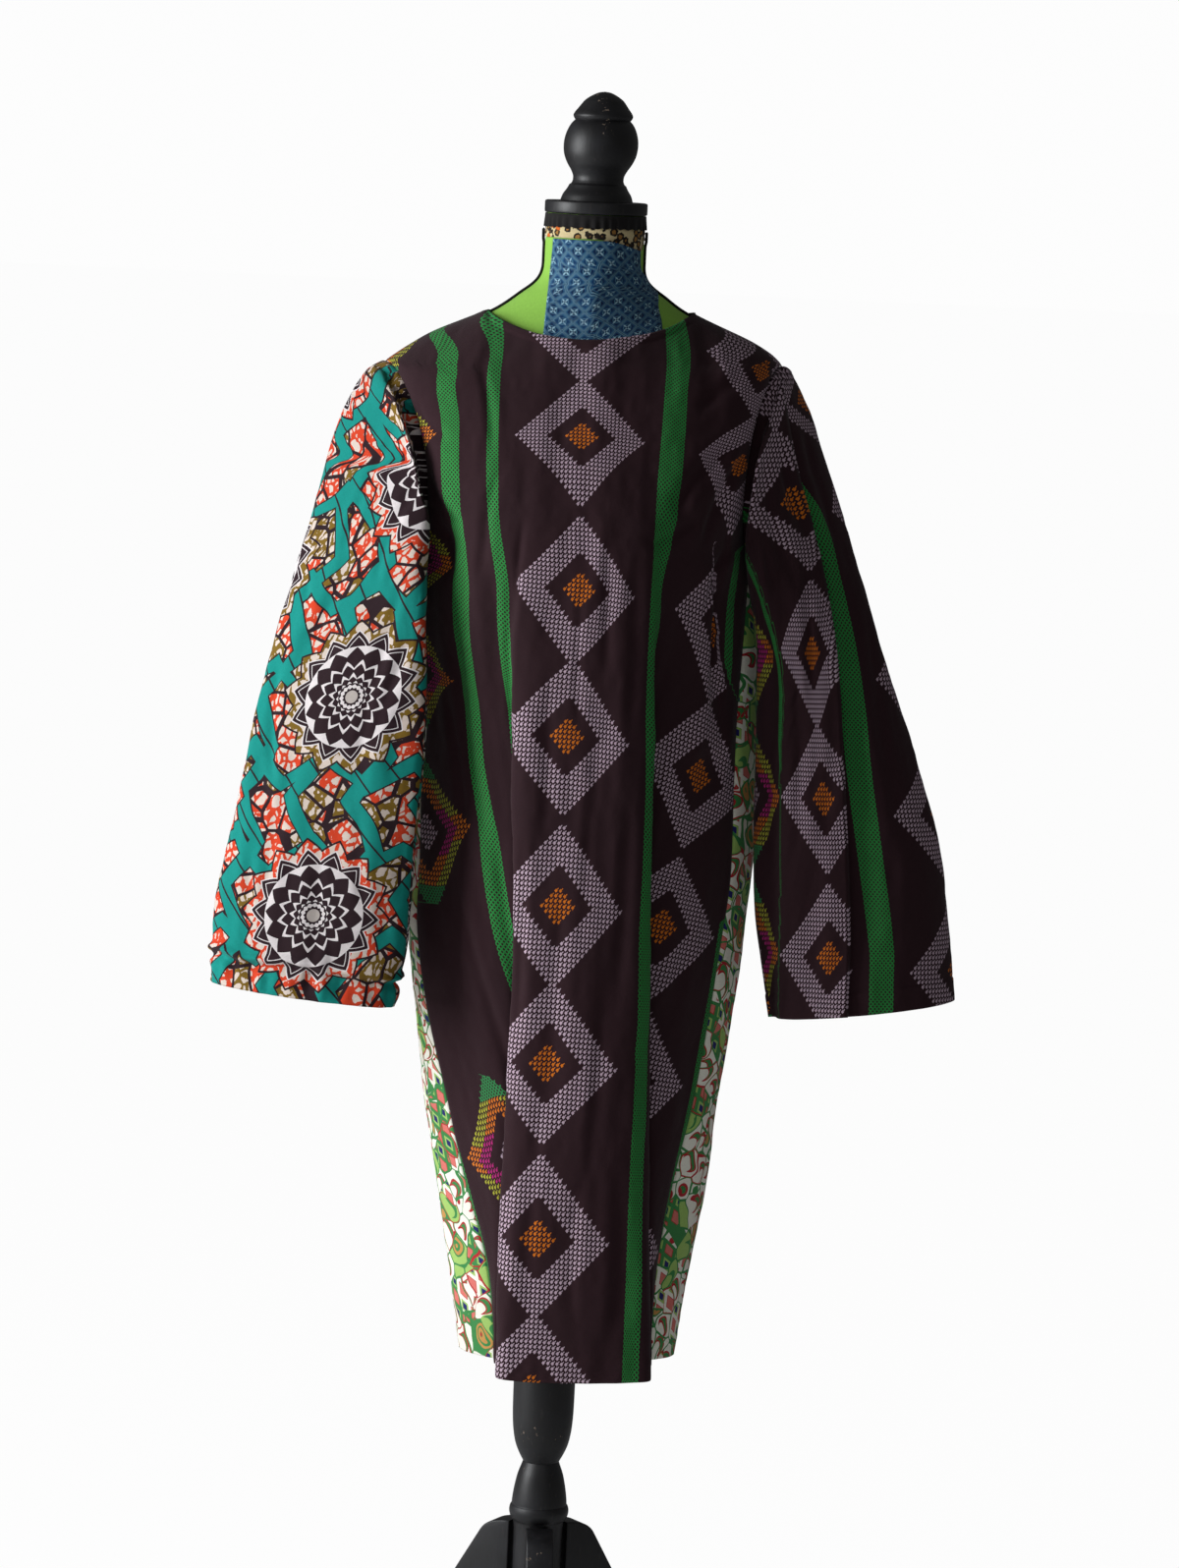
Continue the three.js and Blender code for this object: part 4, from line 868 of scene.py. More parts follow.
def side_panel(name, side, seed):
    """A godet from the underarm to the hem."""
    middle = GUSSET_COLUMNS // 2
    share = np.linspace(0, 1, GUSSET_COLUMNS + 1)
    bottom = mix(hem_front(0.0 if side == "left" else 1.0), HEM_LEVEL, share)
    z = mix(UNDERARM_Z - 2, bottom[None], close_rows(ROWS["gusset"], 790)[:, None])
    points = np.zeros(z.shape + (3,))
    points[..., 2] = z
    for i, level in enumerate(z[:, middle].tolist()):
        (fx, fy), (bx, by) = seam_point(side, -1, level), seam_point(side, 1, level)
        wide = body["sideL" if side == "left" else "sideR"](level)
        front, back = mix(fx, wide, GUSSET_SQUARE), mix(bx, wide, GUSSET_SQUARE)
        line = [(fx, fy), (front, fy / 2), (wide, 0), (back, by / 2), (bx, by)]
        points[i, :, :2] = evenly(*smooth_line(line, 24), mix(0.006, 0.994, share))
    u, v = lengths_along(points, 1, middle), lengths_along(points, 0, 0)
    from_side = np.minimum(share, 1 - share)[None] * np.abs(u[:, -1:] - u[:, :1])
    out = (creased(u, z, SIDE_CREASES) + waves(u, z, "gusset", seed)) * ease(from_side / 12)
    out += track(SIDE_SWELL, side)(z) * np.sin(math.pi * share[None]) ** 0.7
    out += turned_edge(z - z[-1:], HEM_WIDTH) + seam_dip(from_side, SEAM_DEPTH)
    if side == "left":
        points, u, v, out = points[:, ::-1], -u[:, ::-1], v[:, ::-1], out[:, ::-1]
    points = points + normals_of(points) * out[..., None]
    return cloth_piece(name, points, {"cloth": cloth_map(u, -v) + PRINT_SHIFT[side]}, LEAF)


def sleeve_rings(side, angles):
    """Control rings of a sleeve, armhole to cuff, for each column's angle at each ring."""
    rings = []
    for out, at in zip(HEAD_RINGS, angles):
        ring = armhole_point(side, at)
        ring[:, 0] += OUTWARD[side] * out
        ring[:, 1] *= 1 + max(out - 4, min(out, 0)) / 100
        ring[:, 2] -= 0.6 * abs(out) * np.maximum(np.cos(at), 0)
        rings.append(ring)
    for row, at in zip(SLEEVES[side], angles[len(HEAD_RINGS):]):
        outer, inner = (np.array([row[edge + axis] for axis in "xyz"], float) for edge in "oi")
        ring = mix(inner, outer, (1 + np.cos(at[:, None])) / 2)
        frontal = (np.sin(at) >= 0)[:, None]
        stand = np.where(frontal, [[row["fx"], row["fy"], 0]], [[row["bx"], row["by"], 0]])
        rings.append(ring + stand * np.abs(np.sin(at))[:, None])
    return np.stack(rings)


def level_lengths(points, start):
    """How far each point lies from the start column, measured level round the piece."""
    levels = np.arange(points[..., 2].min(), points[..., 2].max(), 5.0)
    columns = np.moveaxis(points, 1, 0)

    def in_plan(line):
        return np.stack([np.interp(levels, line[::-1, 2], line[::-1, k]) for k in (0, 1)], axis=-1)

    around = lengths_along(np.stack([in_plan(line) for line in columns], axis=1), 1, start)
    ways = [np.interp(line[:, 2], levels, way) for line, way in zip(columns, around.T)]
    return np.stack(ways, axis=1)


# How the plum print lies on the right sleeve: where its diamonds' middles hang before the long
# fold and how far they reach back from there, and behind the fold where the next diamonds' tips
# lie and how much lower.
RIGHT_PRINT = rows(
    "z middle wide rise tip drop", (837, -17, 48, 0, 64, 13), (986, -18, 41, 0, 50, 16),
    (1110, -22, 29, 0, 44, 25), (1199, -12, 55, 3, 40, 22), (1263, -8, 85, 12, 36, 20),
    (1370, -24, 60, 10, -25, 60),
)
# The print's column at each share of the way from a diamond's middle into the fold (away), high
# and low.
FOLD_COLUMNS = rows(
    "away upper lower", (-1.34, -40, -46), (-1.22, -36, -41), (-1.05, -30.2, -38),
    (-1.021, -25, -36.9), (-1.02, -16.3, -16.3), (0, 0, 0), (0.5, 8, 8),
)
SLEEVE_CHART = {"pitch": 4.1, "height": 4.64, "level": 1122, "behind": 30}
SLEEVE_COLUMNS = 168
ROUNDING = 10  # how many times a sleeve's columns are smoothed round it
HEAD_RINGS = (-2.5, 3, 9)  # how far out from the armhole the sleeve's first rings lie
LEFT_FRONT = 1.62  # the angle of the middle of the left sleeve's front
RIGHT_FOLD = 1.4  # the angle of the column that follows the right sleeve's fold
GATHERS = {"left": 1.9, "right": 0.7}  # how deep the gathers at the sleeve heads are


def sleeve_angles(side):
    """Each column's angle at each control ring; one column follows the right sleeve's fold."""
    rings = np.arange(len(SLEEVES[side]) + len(HEAD_RINGS))
    even = np.linspace(-math.pi, math.pi, SLEEVE_COLUMNS + 1)
    if side == "left":
        column = int(np.argmin(np.abs(even - LEFT_FRONT)))
        return np.broadcast_to(even, (len(rings), len(even))), column
    fold = track(SLEEVE_FOLD, "angle", "ring")
    column = int(np.argmin(np.abs(even[::-1] - RIGHT_FOLD)))
    ends = (-math.pi, even[::-1][column], math.pi)
    bent = [np.interp(even, ends, (-math.pi, fold(float(ring)), math.pi)) for ring in rings]
    return np.array(bent)[:, ::-1], column


def right_chart(points, edge):
    """The plum print on the right sleeve, less what its long fold hides, and the fold's valley."""
    h, z = level_lengths(points, edge), points[..., 2]
    names = ("middle", "wide", "rise", "tip", "drop")
    middle, wide, rise, tip, drop = (track(RIGHT_PRINT, name)(z) for name in names)
    away = (h - middle) / wide
    low = fade(z, 1080, -110)
    first, last = FOLD_COLUMNS[0], FOLD_COLUMNS[-1]
    at, upper, lower = ([row[name] for row in FOLD_COLUMNS] for name in ("away", "upper", "lower"))
    inner = mix(np.interp(away, at, upper), np.interp(away, at, lower), low)
    beyond = mix(first["upper"], first["lower"], low) + (away - first["away"]) * wide / 2.4
    inner = np.where(away < first["away"], beyond, inner)
    before = last["upper"] + (away - last["away"]) * wide / SLEEVE_CHART["pitch"]
    hidden = np.arange(points.shape[1])[None] > edge
    behind = SLEEVE_CHART["behind"] + (h - tip) / SLEEVE_CHART["pitch"]
    column = np.where(hidden, behind, np.where(away > last["away"], before, inner))
    row = (z + np.where(hidden, drop, rise) - SLEEVE_CHART["level"]) / SLEEVE_CHART["height"]
    return np.stack([column, row], axis=-1), bell((away + 1.2) * wide, 9)


def sleeve_surface(side, angles, middle):
    """A sleeve's smooth surface through its control rings, before creases."""
    control = sleeve_rings(side, angles)
    points = np.stack([smooth_line(line, 16)[0] for line in np.moveaxis(control, 1, 0)], axis=1)
    points[:, -1] = points[:, 0]
    for _ in range(ROUNDING):
        ring = np.concatenate([points[:, -2:-1], points, points[:, 1:2]], axis=1)
        points = (ring[:, :-2] + 2 * ring[:, 1:-1] + ring[:, 2:]) / 4
    on_armhole = points + (control[0] - points[0])[None]
    points = mix(on_armhole, points, ease(lengths_along(points, 0, 0) / 14)[..., None])
    if side == "right":
        points[:, middle + 1] = mix(points[:, middle], points[:, middle + 1], 0.3)
    return points


def gathers(side, angles, u, v, seed):
    """Small folds where the sleeve's head is gathered into the armhole."""
    wander = 2.2 * ripple(u, 0 * u, 30, 10, seed + 3)
    fold = np.sin(u / 2.1 + wander) * (ripple(u, v, 11, 60, seed + 4) + 0.7)
    on_head = ease((np.cos(angles[:1]) + 0.35) / 0.6)
    return GATHERS[side] * fold * on_head * ease(v / 5) * np.exp(-v / 30)


def crumpled_cuff(u, v, seed):
    """The left cuff is pushed up into a soft roll with puckers below it."""
    from_end = v[-1:] - v
    crumple = from_end - 33 - 5 * ripple(u, 0 * u, 26, 10, seed + 5)
    puckers = 3.2 * ripple(u, v, 8, 26, seed + 6) * bell(from_end - 17, 15)
    return 4.6 * bell(crumple, 3.4) - 3.6 * bell(crumple + 8, 4) + puckers


def long_fold(points, u, middle):
    """The right sleeve's long fold: how far it stands out, and the shift towards its edge."""
    ring = np.linspace(0, len(SLEEVES["right"]) + len(HEAD_RINGS) - 1, len(points))
    stand = track(SLEEVE_FOLD, "stand", "ring")(ring)[:, None]
    behind = np.arange(points.shape[1])[None] > middle
    toward = np.gradient(points, axis=1)
    toward /= np.linalg.norm(toward, axis=-1, keepdims=True)
    shift = toward * np.where(behind, 0, 0.7 * stand * np.exp(u / 6))[..., None]
    return np.where(behind, -stand * np.exp(-u / 26), 0.55 * stand * np.exp(u / 20)), shift


def sleeve(name, side, seed):
    """A long sleeve from the armhole to the cuff, closed along its inner seam."""
    angles, middle = sleeve_angles(side)
    points = sleeve_surface(side, angles, middle)
    u, v = lengths_along(points, 1, middle), lengths_along(points, 0, 0)
    from_end, from_seam = v[-1:] - v, np.minimum(u - u[:, :1], u[:, -1:] - u)
    normal = normals_of(points, around=True)
    out = creased(u, v, SLEEVE_CREASES[side]) + waves(u, v, "sleeve", seed)
    out *= ease(v / 22) * mix(0.5, 1, ease(from_end / 30)) * ease(from_seam / 14)
    out += gathers(side, angles, u, v, seed)
    out += seam_dip(v, 0.5, 2) + turned_edge(from_end, CUFF_WIDTH)
    if side == "left":
        out += crumpled_cuff(u, v, seed) + seam_dip(from_seam, 0.8, 2)
        maps = {"cloth": cloth_map(level_lengths(points, middle), points[..., 2])}
    else:
        chart, valley = right_chart(points, middle)
        maps = {"cloth": cloth_map(u, -v), "chart": chart}
        stand, shift = long_fold(points, u, middle)
        out += stand - 5.5 * valley * fade(v, 40, 80)
        points = points + shift
    points = points + normal * out[..., None]
    points[:, -1] = points[:, 0]
    return cloth_piece(name, points, maps, PLUM if side == "right" else WAX)


# ------------------------------------------------------------------ finishes


def tint(red, green, blue):
    """A colour from its 0 to 255 parts, as light."""
    parts = [part / 255 for part in (red, green, blue)]
    light = (p / 12.92 if p <= 0.04045 else ((p + 0.055) / 1.055) ** 2.4 for p in parts)
    return (*light, 1.0)


class Wire:
    """A node's output that can be calculated with."""

    def __init__(self, paint, socket):
        self.paint, self.socket = paint, socket

    def math(self, operation, *others):
        return self.paint.node("ShaderNodeMath", {"operation": operation}, (self,) + others)

    def __rsub__(self, other):
        return self.paint.node("ShaderNodeMath", {"operation": "SUBTRACT"}, (other, self))

    def rise(self, low, high):
        """A soft step from 0 at low to 1 at high."""
        settings = {"interpolation_type": "SMOOTHSTEP"}
        return self.paint.node("ShaderNodeMapRange", settings, {0: self, 1: low, 2: high})


# What a wire can do, and the operation of the math node that does it.
OPERATIONS = {
    "__add__": "ADD", "__radd__": "ADD", "__sub__": "SUBTRACT", "__mul__": "MULTIPLY",
    "__rmul__": "MULTIPLY", "__truediv__": "DIVIDE", "__lt__": "LESS_THAN",
    "__gt__": "GREATER_THAN", "__abs__": "ABSOLUTE", "floor": "FLOOR", "part": "FRACT",
    "fold": "PINGPONG", "wave": "SINE", "root": "SQRT", "least": "MINIMUM", "most": "MAXIMUM",
}
for method, operation in OPERATIONS.items():
    setattr(Wire, method, partialmethod(Wire.math, operation))


class Paint:
    """One finish: a material with its nodes and its shader."""

    def __init__(self, name, constants):
        self.material = bpy.data.materials.new(name)
        self.material.use_nodes = True
        self.tree = self.material.node_tree
        self.shader = self.tree.nodes["Principled BSDF"]
        for socket, value in constants.items():
            self.shader.inputs[socket].default_value = value

    def node(self, kind, settings, sockets, output=0):
        node = self.tree.nodes.new(kind)
        for key, value in settings.items():
            setattr(node, key, value)
        for key, value in sockets.items() if isinstance(sockets, dict) else enumerate(sockets):
            if isinstance(value, Wire):
                self.tree.links.new(value.socket, node.inputs[key])
            else:
                node.inputs[key].default_value = value
        return Wire(self, node.outputs[output])

    def split(self, vector):
        node = self.node("ShaderNodeSeparateXYZ", {}, (vector,)).socket.node
        return [Wire(self, socket) for socket in node.outputs]

    def join(self, x, y, z=0.0):
        return self.node("ShaderNodeCombineXYZ", {}, (x, y, z))

    def on(self, layer):
        """The two coordinates of one of the piece's own maps."""
        return self.split(self.node("ShaderNodeUVMap", {"uv_map": layer}, {}))[:2]

    def place(self):
        return self.node("ShaderNodeTexCoord", {}, {}, "Object")

    def noise(self, vector, scale, detail=2.0, roughness=0.5):
        sockets = {"Vector": vector, "Scale": scale, "Detail": detail, "Roughness": roughness}
        return self.node("ShaderNodeTexNoise", {}, sockets, "Fac")

    def cells(self, vector, scale, feature="F1", output="Distance"):
        sockets = {"Vector": vector, "Scale": scale}
        return self.node("ShaderNodeTexVoronoi", {"feature": feature}, sockets, output)

    def mix(self, mask, under, over):
        """The second colour over the first, where the mask is 1."""
        return self.node("ShaderNodeMix", {"data_type": "RGBA"}, {0: mask, 6: under, 7: over}, 2)

    def layers(self, under, *covers):
        for mask, over in covers:
            under = self.mix(mask, under, over)
        return under

    def shade(self, colour, amount):
        """The colour made lighter or darker."""
        colour = colour if isinstance(colour, Wire) else colour[:3]
        sockets = {0: colour, "Scale": amount}
        return self.node("ShaderNodeVectorMath", {"operation": "SCALE"}, sockets)

    def feed(self, socket, value):
        self.tree.links.new(value.socket, self.shader.inputs[socket])

    def bump(self, height, distance, strength=1.0):
        sockets = {"Height": height, "Distance": distance, "Strength": strength}
        self.feed("Normal", self.node("ShaderNodeBump", {}, sockets))


COTTON = {
    "Roughness": 0.82, "Sheen Weight": 0.06, "Sheen Roughness": 0.55, "Specular IOR Level": 0.16,
}
SLUB_LONG, SLUB_THIN = 260, 2200  # slubs to the metre, along a thread and across it


def cotton(paint, colour, thread=0.55, fading=0.16):
    """Plain-woven cotton under a print: threads, slubs, and unevenly taken dye."""
    u, v = paint.on("cloth")
    turn = 2 * math.pi / (thread * MM)
    weave = (u * turn).wave() * (v * turn).wave()
    weft, warp = paint.join(u * SLUB_LONG, v * SLUB_THIN), paint.join(u * SLUB_THIN, v * SLUB_LONG)
    slub = paint.noise(weft, 1.0, 1.0) + paint.noise(warp, 1.0, 1.0)
    dye = paint.noise(paint.place(), 9.0, 3.0)
    amount = weave * 0.035 + (slub - 1) * 0.30 + (dye - 0.5) * fading * 2 + 1
    paint.feed("Base Color", paint.shade(colour, amount))
    crumple = paint.noise(paint.place(), 70.0, 2.0)
    paint.feed("Roughness", (dye - 0.5) * 0.12 + 0.84)
    paint.bump(weave * 0.05 + slub * 0.10 + crumple * 0.75, 0.0011, 0.55)
    return paint.material


# Half the plum chart's repeat, the middle of its big diamonds, and the diamonds' bands, in cells.
HALF_REPEAT = {"columns": 76.0, "rows": 31.5}
BIG_MIDDLE = {"column": 53, "row": 15}
DIAMOND = {"outer": 16, "inner": 7.9, "heart": 4}
PLUM_GROUND = tint(48, 26, 32)
PLUM_MARK = tint(200, 176, 192)


def plum_print():
    """A print charted in small cells: columns of stepped diamonds between green stripes."""
    paint = Paint("plum_print_cotton", COTTON)
    c, r = paint.on("chart")
    fx, fy = c.part(), r.part()
    column = (c.floor() + (BIG_MIDDLE["column"] + 0.5)).fold(HALF_REPEAT["columns"])
    rise = abs((r.floor() + BIG_MIDDLE["row"]).fold(HALF_REPEAT["rows"]) - BIG_MIDDLE["row"])
    big, small = abs(column - BIG_MIDDLE["column"]) + rise, column + rise
    head = abs(fx - 0.42) + abs(fy - 0.42) * 0.9 < 0.37
    arrow = head.most((abs(fx - fy) < 0.13) * (fx > 0.4) * (fx < 0.97))
    cross = abs(abs(fx - 0.5) - abs(fy - 0.5)) < 0.2
    ring, jewel = ((far < DIAMOND["outer"]) * (far > DIAMOND["inner"]) for far in (big, small))
    heart, bead = big < DIAMOND["heart"], small < DIAMOND["heart"]
    inner = small < 12
    steep = rise > 4.5
    caps = rise > 10.9
    wide, narrow = (column > 17.9) * (column < 23), (column > 29.9) * (column < 33)
    stripe = wide.most(narrow).most(column > 72.9)
    lit = ring.most(heart).most(bead).most(jewel * (1 - caps))
    mark = paint.layers(
        PLUM_MARK,
        (jewel, tint(178, 176, 58)),
        (jewel * inner, tint(186, 42, 124)),
        (jewel * steep * inner, tint(222, 122, 36)),
        (jewel * (rise < 2.5) * (small > 11.9), tint(222, 122, 36)),
        (heart, tint(220, 118, 26)),
        (bead, PLUM_MARK),
    )
    colour = paint.layers(
        PLUM_GROUND,
        (lit * arrow, mark),
        (jewel * caps * cross, tint(52, 138, 80)),
        (stripe * cross, tint(44, 146, 68)),
    )
    return cotton(paint, colour)


def crackle(paint, u, v, net, pale):
    """Wax that broke while the cloth was dyed: pale bubbles in a coarse net of dye."""
    where = paint.join(u * 1.25, v)
    wander = paint.noise(where, 150.0, 2.0)
    edge = paint.cells(where, 92.0, "DISTANCE_TO_EDGE") + (wander - 0.5) * 0.5
    mottled = paint.shade(pale, wander * 0.5 + 0.72)
    return paint.layers(net, (edge > 0.13, pale), (edge > 0.42, mottled))


# The rosettes: their spacing, where the first one lies, and their size against the drawing.
ROSETTE = {"across": 0.172, "down": 0.212, "points": 14, "left": 0.076, "up": 0.100, "size": 0.96}


def wax_print():
    """A wax print: star rosettes in a half-drop over bent teal ribbons and crackled patches."""
    paint = Paint("wax_print_cotton", COTTON)
    u, v = paint.on("cloth")
    ink, white, teal = tint(40, 22, 28), tint(222, 214, 214), tint(10, 138, 128)
    orange, ochre, pale = tint(206, 62, 30), tint(122, 94, 28), tint(214, 198, 186)

    # the rosettes, drawn in millimetres from their middles
    across = (u + ROSETTE["left"]) / ROSETTE["across"]
    odd = across.floor() * 0.5
    down = (v + ROSETTE["up"]) / ROSETTE["down"] + odd.part()
    lx = (across.part() - 0.5) * (ROSETTE["across"] / MM / ROSETTE["size"])
    ly = (down.part() - 0.5) * (ROSETTE["down"] / MM / ROSETTE["size"])
    far = (lx * lx + ly * ly).root()
    turn = ly.math("ARCTAN2", lx) * (ROSETTE["points"] / (2 * math.pi))
    point = abs(turn.part() - 0.5) * 2
    between = 1 - point
    outer = far - point * 13

    def wreath(radius, half, taper, narrows):
        """A ring of marks about a radius, each narrower away from its middle."""
        return abs(far - radius) / half + taper * narrows < 1

    kites, small_kites = wreath(40, 11, between, 0.80), wreath(26, 7.5, point, 0.85)
    petals, beads = wreath(17, 3.6, between, 0.8), wreath(10.5, 2.4, point, 0.7)
    warm = (across.floor() + down.floor()).fold(1.0) > 0.5
    border = paint.mix(warm, crackle(paint, u, v, orange, pale), crackle(paint, u, v, ochre, pale))
    rosette = paint.layers(
        border, (outer < 55.5, white), (outer < 53.8, ink), (abs(outer - 49) < 0.6, white),
        (far < 51.5, white), (kites, ink), (small_kites, ink), (petals, ink), (far < 14, ink),
        (beads, white), (far < 6.5, tint(186, 176, 170)), (abs(far - 7.4) < 0.9, ink),
    )

    # the ground between them
    sway = paint.noise(paint.join(u, v), 13.0, 1.0) - 0.5
    first = abs((u + (v / 0.046).fold(1.0) * 0.030 + sway * 0.026) / 0.062).fold(0.5) * 62
    second = abs((v + (u / 0.044).fold(1.0) * 0.030 - sway * 0.028) / 0.084).fold(0.5) * 84
    ribbon = first.least(second + 1.5)
    joint = abs(((u + v) / 0.041).fold(0.5)) < 0.03
    bent = paint.join(u + sway * 0.02, v)
    patch_edge = paint.cells(bent, 40.0, "DISTANCE_TO_EDGE")
    patch = paint.split(paint.cells(bent, 40.0, "F1", "Color"))[0]
    ground = paint.layers(
        crackle(paint, u, v, orange, pale),
        (patch > 0.58, crackle(paint, u, v, ochre, pale)),
        (patch_edge < 0.055, ink),
        (ribbon < 10.6, ink), (ribbon < 8.9, teal), ((ribbon < 8.9) * joint, ink),
    )
    colour = paint.layers(ground, (outer < 66.5, ink), (outer < 64.0, rosette))
    return cotton(paint, colour)


LEAF_CELLS = 50.0  # to the metre, in the side panels' print


def leaf_print():
    """A light print of crescents, shards and ringed discs on cream and green."""
    paint = Paint("leaf_print_cotton", COTTON)
    u, v = paint.on("cloth")
    sway = paint.noise(paint.join(u, v), 30.0, 1.0) - 0.5
    x, y = u + sway * 0.026, v * 0.86 - sway * 0.020
    bent = paint.join(x, y)
    edge = paint.cells(bent, LEAF_CELLS, "DISTANCE_TO_EDGE")
    kind, odds, turn = paint.split(paint.cells(bent, LEAF_CELLS, "F1", "Color"))
    middle = paint.cells(bent, LEAF_CELLS)
    off = paint.cells(paint.join(x + 0.0038, y + 0.0022), LEAF_CELLS)
    crescent = (middle < 0.46) * (off > 0.40)
    rim = (abs(middle - 0.46) < 0.035) * (off > 0.40)
    outline = rim.most((middle < 0.48) * (abs(off - 0.40) < 0.03))
    shard = ((u + v * 0.6) / 0.020).fold(0.5) + ((v - u * 0.5) / 0.031).fold(0.5)
    disc = (odds > 0.84) * (middle < 0.52)
    rings = (middle * 5.2).fold(0.5)
    green, lime, cream = tint(66, 142, 78), tint(168, 206, 112), tint(252, 250, 236)
    coral, red, navy = tint(226, 122, 112), tint(188, 44, 52), tint(40, 42, 112)
    sharp = (kind > 0.62) * (odds < 0.84)
    colour = paint.layers(
        cream, (kind > 0.50, lime), (kind > 0.62, cream), (kind > 0.84, green),
        (crescent * (kind < 0.62), green), (outline * (kind < 0.5), red),
        (sharp * (shard < 0.34), coral), (sharp * (shard > 0.66), lime),
        (sharp * (abs(shard - 0.36) < 0.025), red), (sharp * (shard > 0.80), navy),
        (disc, tint(206, 150, 84)), (disc * (rings > 0.30), green), (disc * (middle < 0.12), red),
        ((edge < 0.045) * (turn > 0.3), green), ((edge < 0.045) * (turn < 0.22), red),
    )
    return cotton(paint, colour, 0.45)


def blue_print():
    """A lattice of small tiles in blue and white."""
    paint = Paint("blue_print_cotton", COTTON)
    u, v = paint.on("cloth")
    tile = 0.021
    a, b = (u + v) / tile, (u - v) / tile
    x, y = abs(a.part() - 0.5), abs(b.part() - 0.5)
    far = x.most(y)
    flower = (x * x + y * y).root()
    worn = paint.noise(paint.join(u, v), 190.0, 3.0)
    check = (a.floor() + b.floor()).fold(1.0) > 0.5
    colour = paint.layers(
        tint(20, 56, 98),
        (check, tint(12, 36, 74)),
        (abs(far - 0.45) < 0.026, tint(108, 152, 172)),
        (abs(far - 0.36) < 0.022, tint(52, 104, 146)),
        (abs(flower - 0.24) < 0.028, tint(88, 138, 166)),
        ((x.least(y) < 0.045) * (flower < 0.26), tint(158, 198, 212)),
        (flower < 0.06, tint(14, 40, 82)),
        ((x.least(y) < 0.03) * (far > 0.26) * (far < 0.34), tint(146, 186, 202)),
        ((worn > 0.60) * 0.5, tint(52, 102, 136)),
        ((worn < 0.40) * 0.6, tint(12, 38, 80)),
    )
    return cotton(paint, colour, 0.45)


def spotted_print():
    """A narrow strip of cream with ragged dark spots."""
    paint = Paint("spotted_print_cotton", COTTON)
    u, v = paint.on("cloth")
    where = paint.join(u, v)
    spots = paint.cells(where, 125.0) + (paint.noise(where, 420.0) - 0.5) * 0.35
    rare = paint.split(paint.cells(where, 125.0, "F1", "Color"))[0]
    colour = paint.layers(
        tint(214, 196, 150), (spots < 0.52, tint(34, 26, 22)), (spots < 0.30, tint(160, 116, 60)),
        ((rare > 0.9) * (spots < 0.5), tint(214, 104, 36)),
    )
    return cotton(paint, colour, 0.45)


def plain_cotton(name, colour):
    return cotton(Paint(name, COTTON), colour, 0.5, 0.1)


def lacquer():
    """Black satin paint on turned wood: brush grain, dulled patches, and rubbed places."""
    paint = Paint("black_lacquer", {"Coat Roughness": 0.5, "Specular IOR Level": 0.42})
    where = paint.place()
    x, y, z = paint.split(where)
    grain = paint.noise(paint.join(x * 9, y * 9, z), 40.0, 3.0, 0.6)
    dull = paint.noise(where, 26.0, 3.0)
    chips = paint.noise(where, 210.0, 3.0, 0.65) * paint.noise(where, 34.0, 2.0)
    worn = chips.rise(0.435, 0.455)
    lifted = paint.mix(dull.rise(0.42, 0.68), tint(15, 14, 16), tint(25, 25, 29))
    brushed, wood = tint(52, 47, 46), tint(128, 112, 98)
    colour = paint.layers(lifted, (grain.rise(0.60, 0.72) * 0.5, brushed), (worn, wood))
    paint.feed("Base Color", colour)
    paint.feed("Roughness", dull * 0.30 + worn * 0.25 + 0.34)
    paint.feed("Coat Weight", 0.14 - worn * 0.14)
    paint.bump(grain * 0.35 + dull * 0.5 - worn * 0.5, 0.0008, 0.5)
    return paint.material


PLUM, WAX, LEAF = plum_print(), wax_print(), leaf_print()
BLUE, SPOTTED = blue_print(), spotted_print()
LIME = plain_cotton("lime_cotton", tint(150, 204, 84))
BLACK = plain_cotton("black_cotton", tint(30, 28, 28))
LACQUER = lacquer()

# ------------------------------------------------------------------ the form and its neck


def form_at(z):
    """Half widths, depths and squareness of the form at one height."""
    on_shoulder = float(fade(z, 1330, 45))
    on_neck = float(fade(z, 1452, NECK_FLARE_Z - 1452))

    def blend(low, high, neck):
        return mix(mix(low, high, on_shoulder), neck, on_neck)

    size = {"square": blend(form["square"](z), yoke["square"](z), 2)}
    for side, outward in OUTWARD.items():
        ridge = ridge_width[side](z + FORM_DROP) - FORM_INSET
        capped = min(ridge, abs(TIPS[side][0]) - ARM_CAP)
        size[side] = blend(form["half"](z) + outward * form["middle"](z), capped, NECK_RADIUS)
    for face in ("front", "back"):
        size[face] = blend(form[face](z), yoke[face](z) - YOKE_INSET, NECK_RADIUS)
    return size


def form_point(z, angle, out=0.0, scale=1.0):
    """The form's skin, or a point out from it: angle 0 is +x, and -pi / 2 the front."""
    size = form_at(z)
    if z > NECK_TOP_Z:
        size = dict.fromkeys(("left", "right", "front", "back"), COLLAR_RADIUS) | {"square": 2}
    c, s = math.cos(angle), math.sin(angle)
    half = size["left"] if c < 0 else size["right"]
    depth = size["front"] if s < 0 else size["back"]
    square = size["square"]
    x = math.copysign(half * abs(c) ** (2 / square), c)
    y = depth * s
    slope = math.copysign(square * abs(x / half) ** (square - 1) / half, x)
    away = Vector((slope, 2 * y / depth ** 2)).normalized()
    return x * scale + away.x * out, y * scale + away.y * out, z


def form_angle(z, x):
    """The angle at which the front of the form stands at x."""
    size = form_at(z)
    half = size["left"] if x < 0 else size["right"]
    return -math.acos(math.copysign(min(abs(x) / half, 1) ** (size["square"] / 2), x))


def skin_map(points, column):
    """The map of a piece that is laid out from one column and its first row."""
    return {"cloth": cloth_map(lengths_along(points, 1, column), -lengths_along(points, 0, 0))}


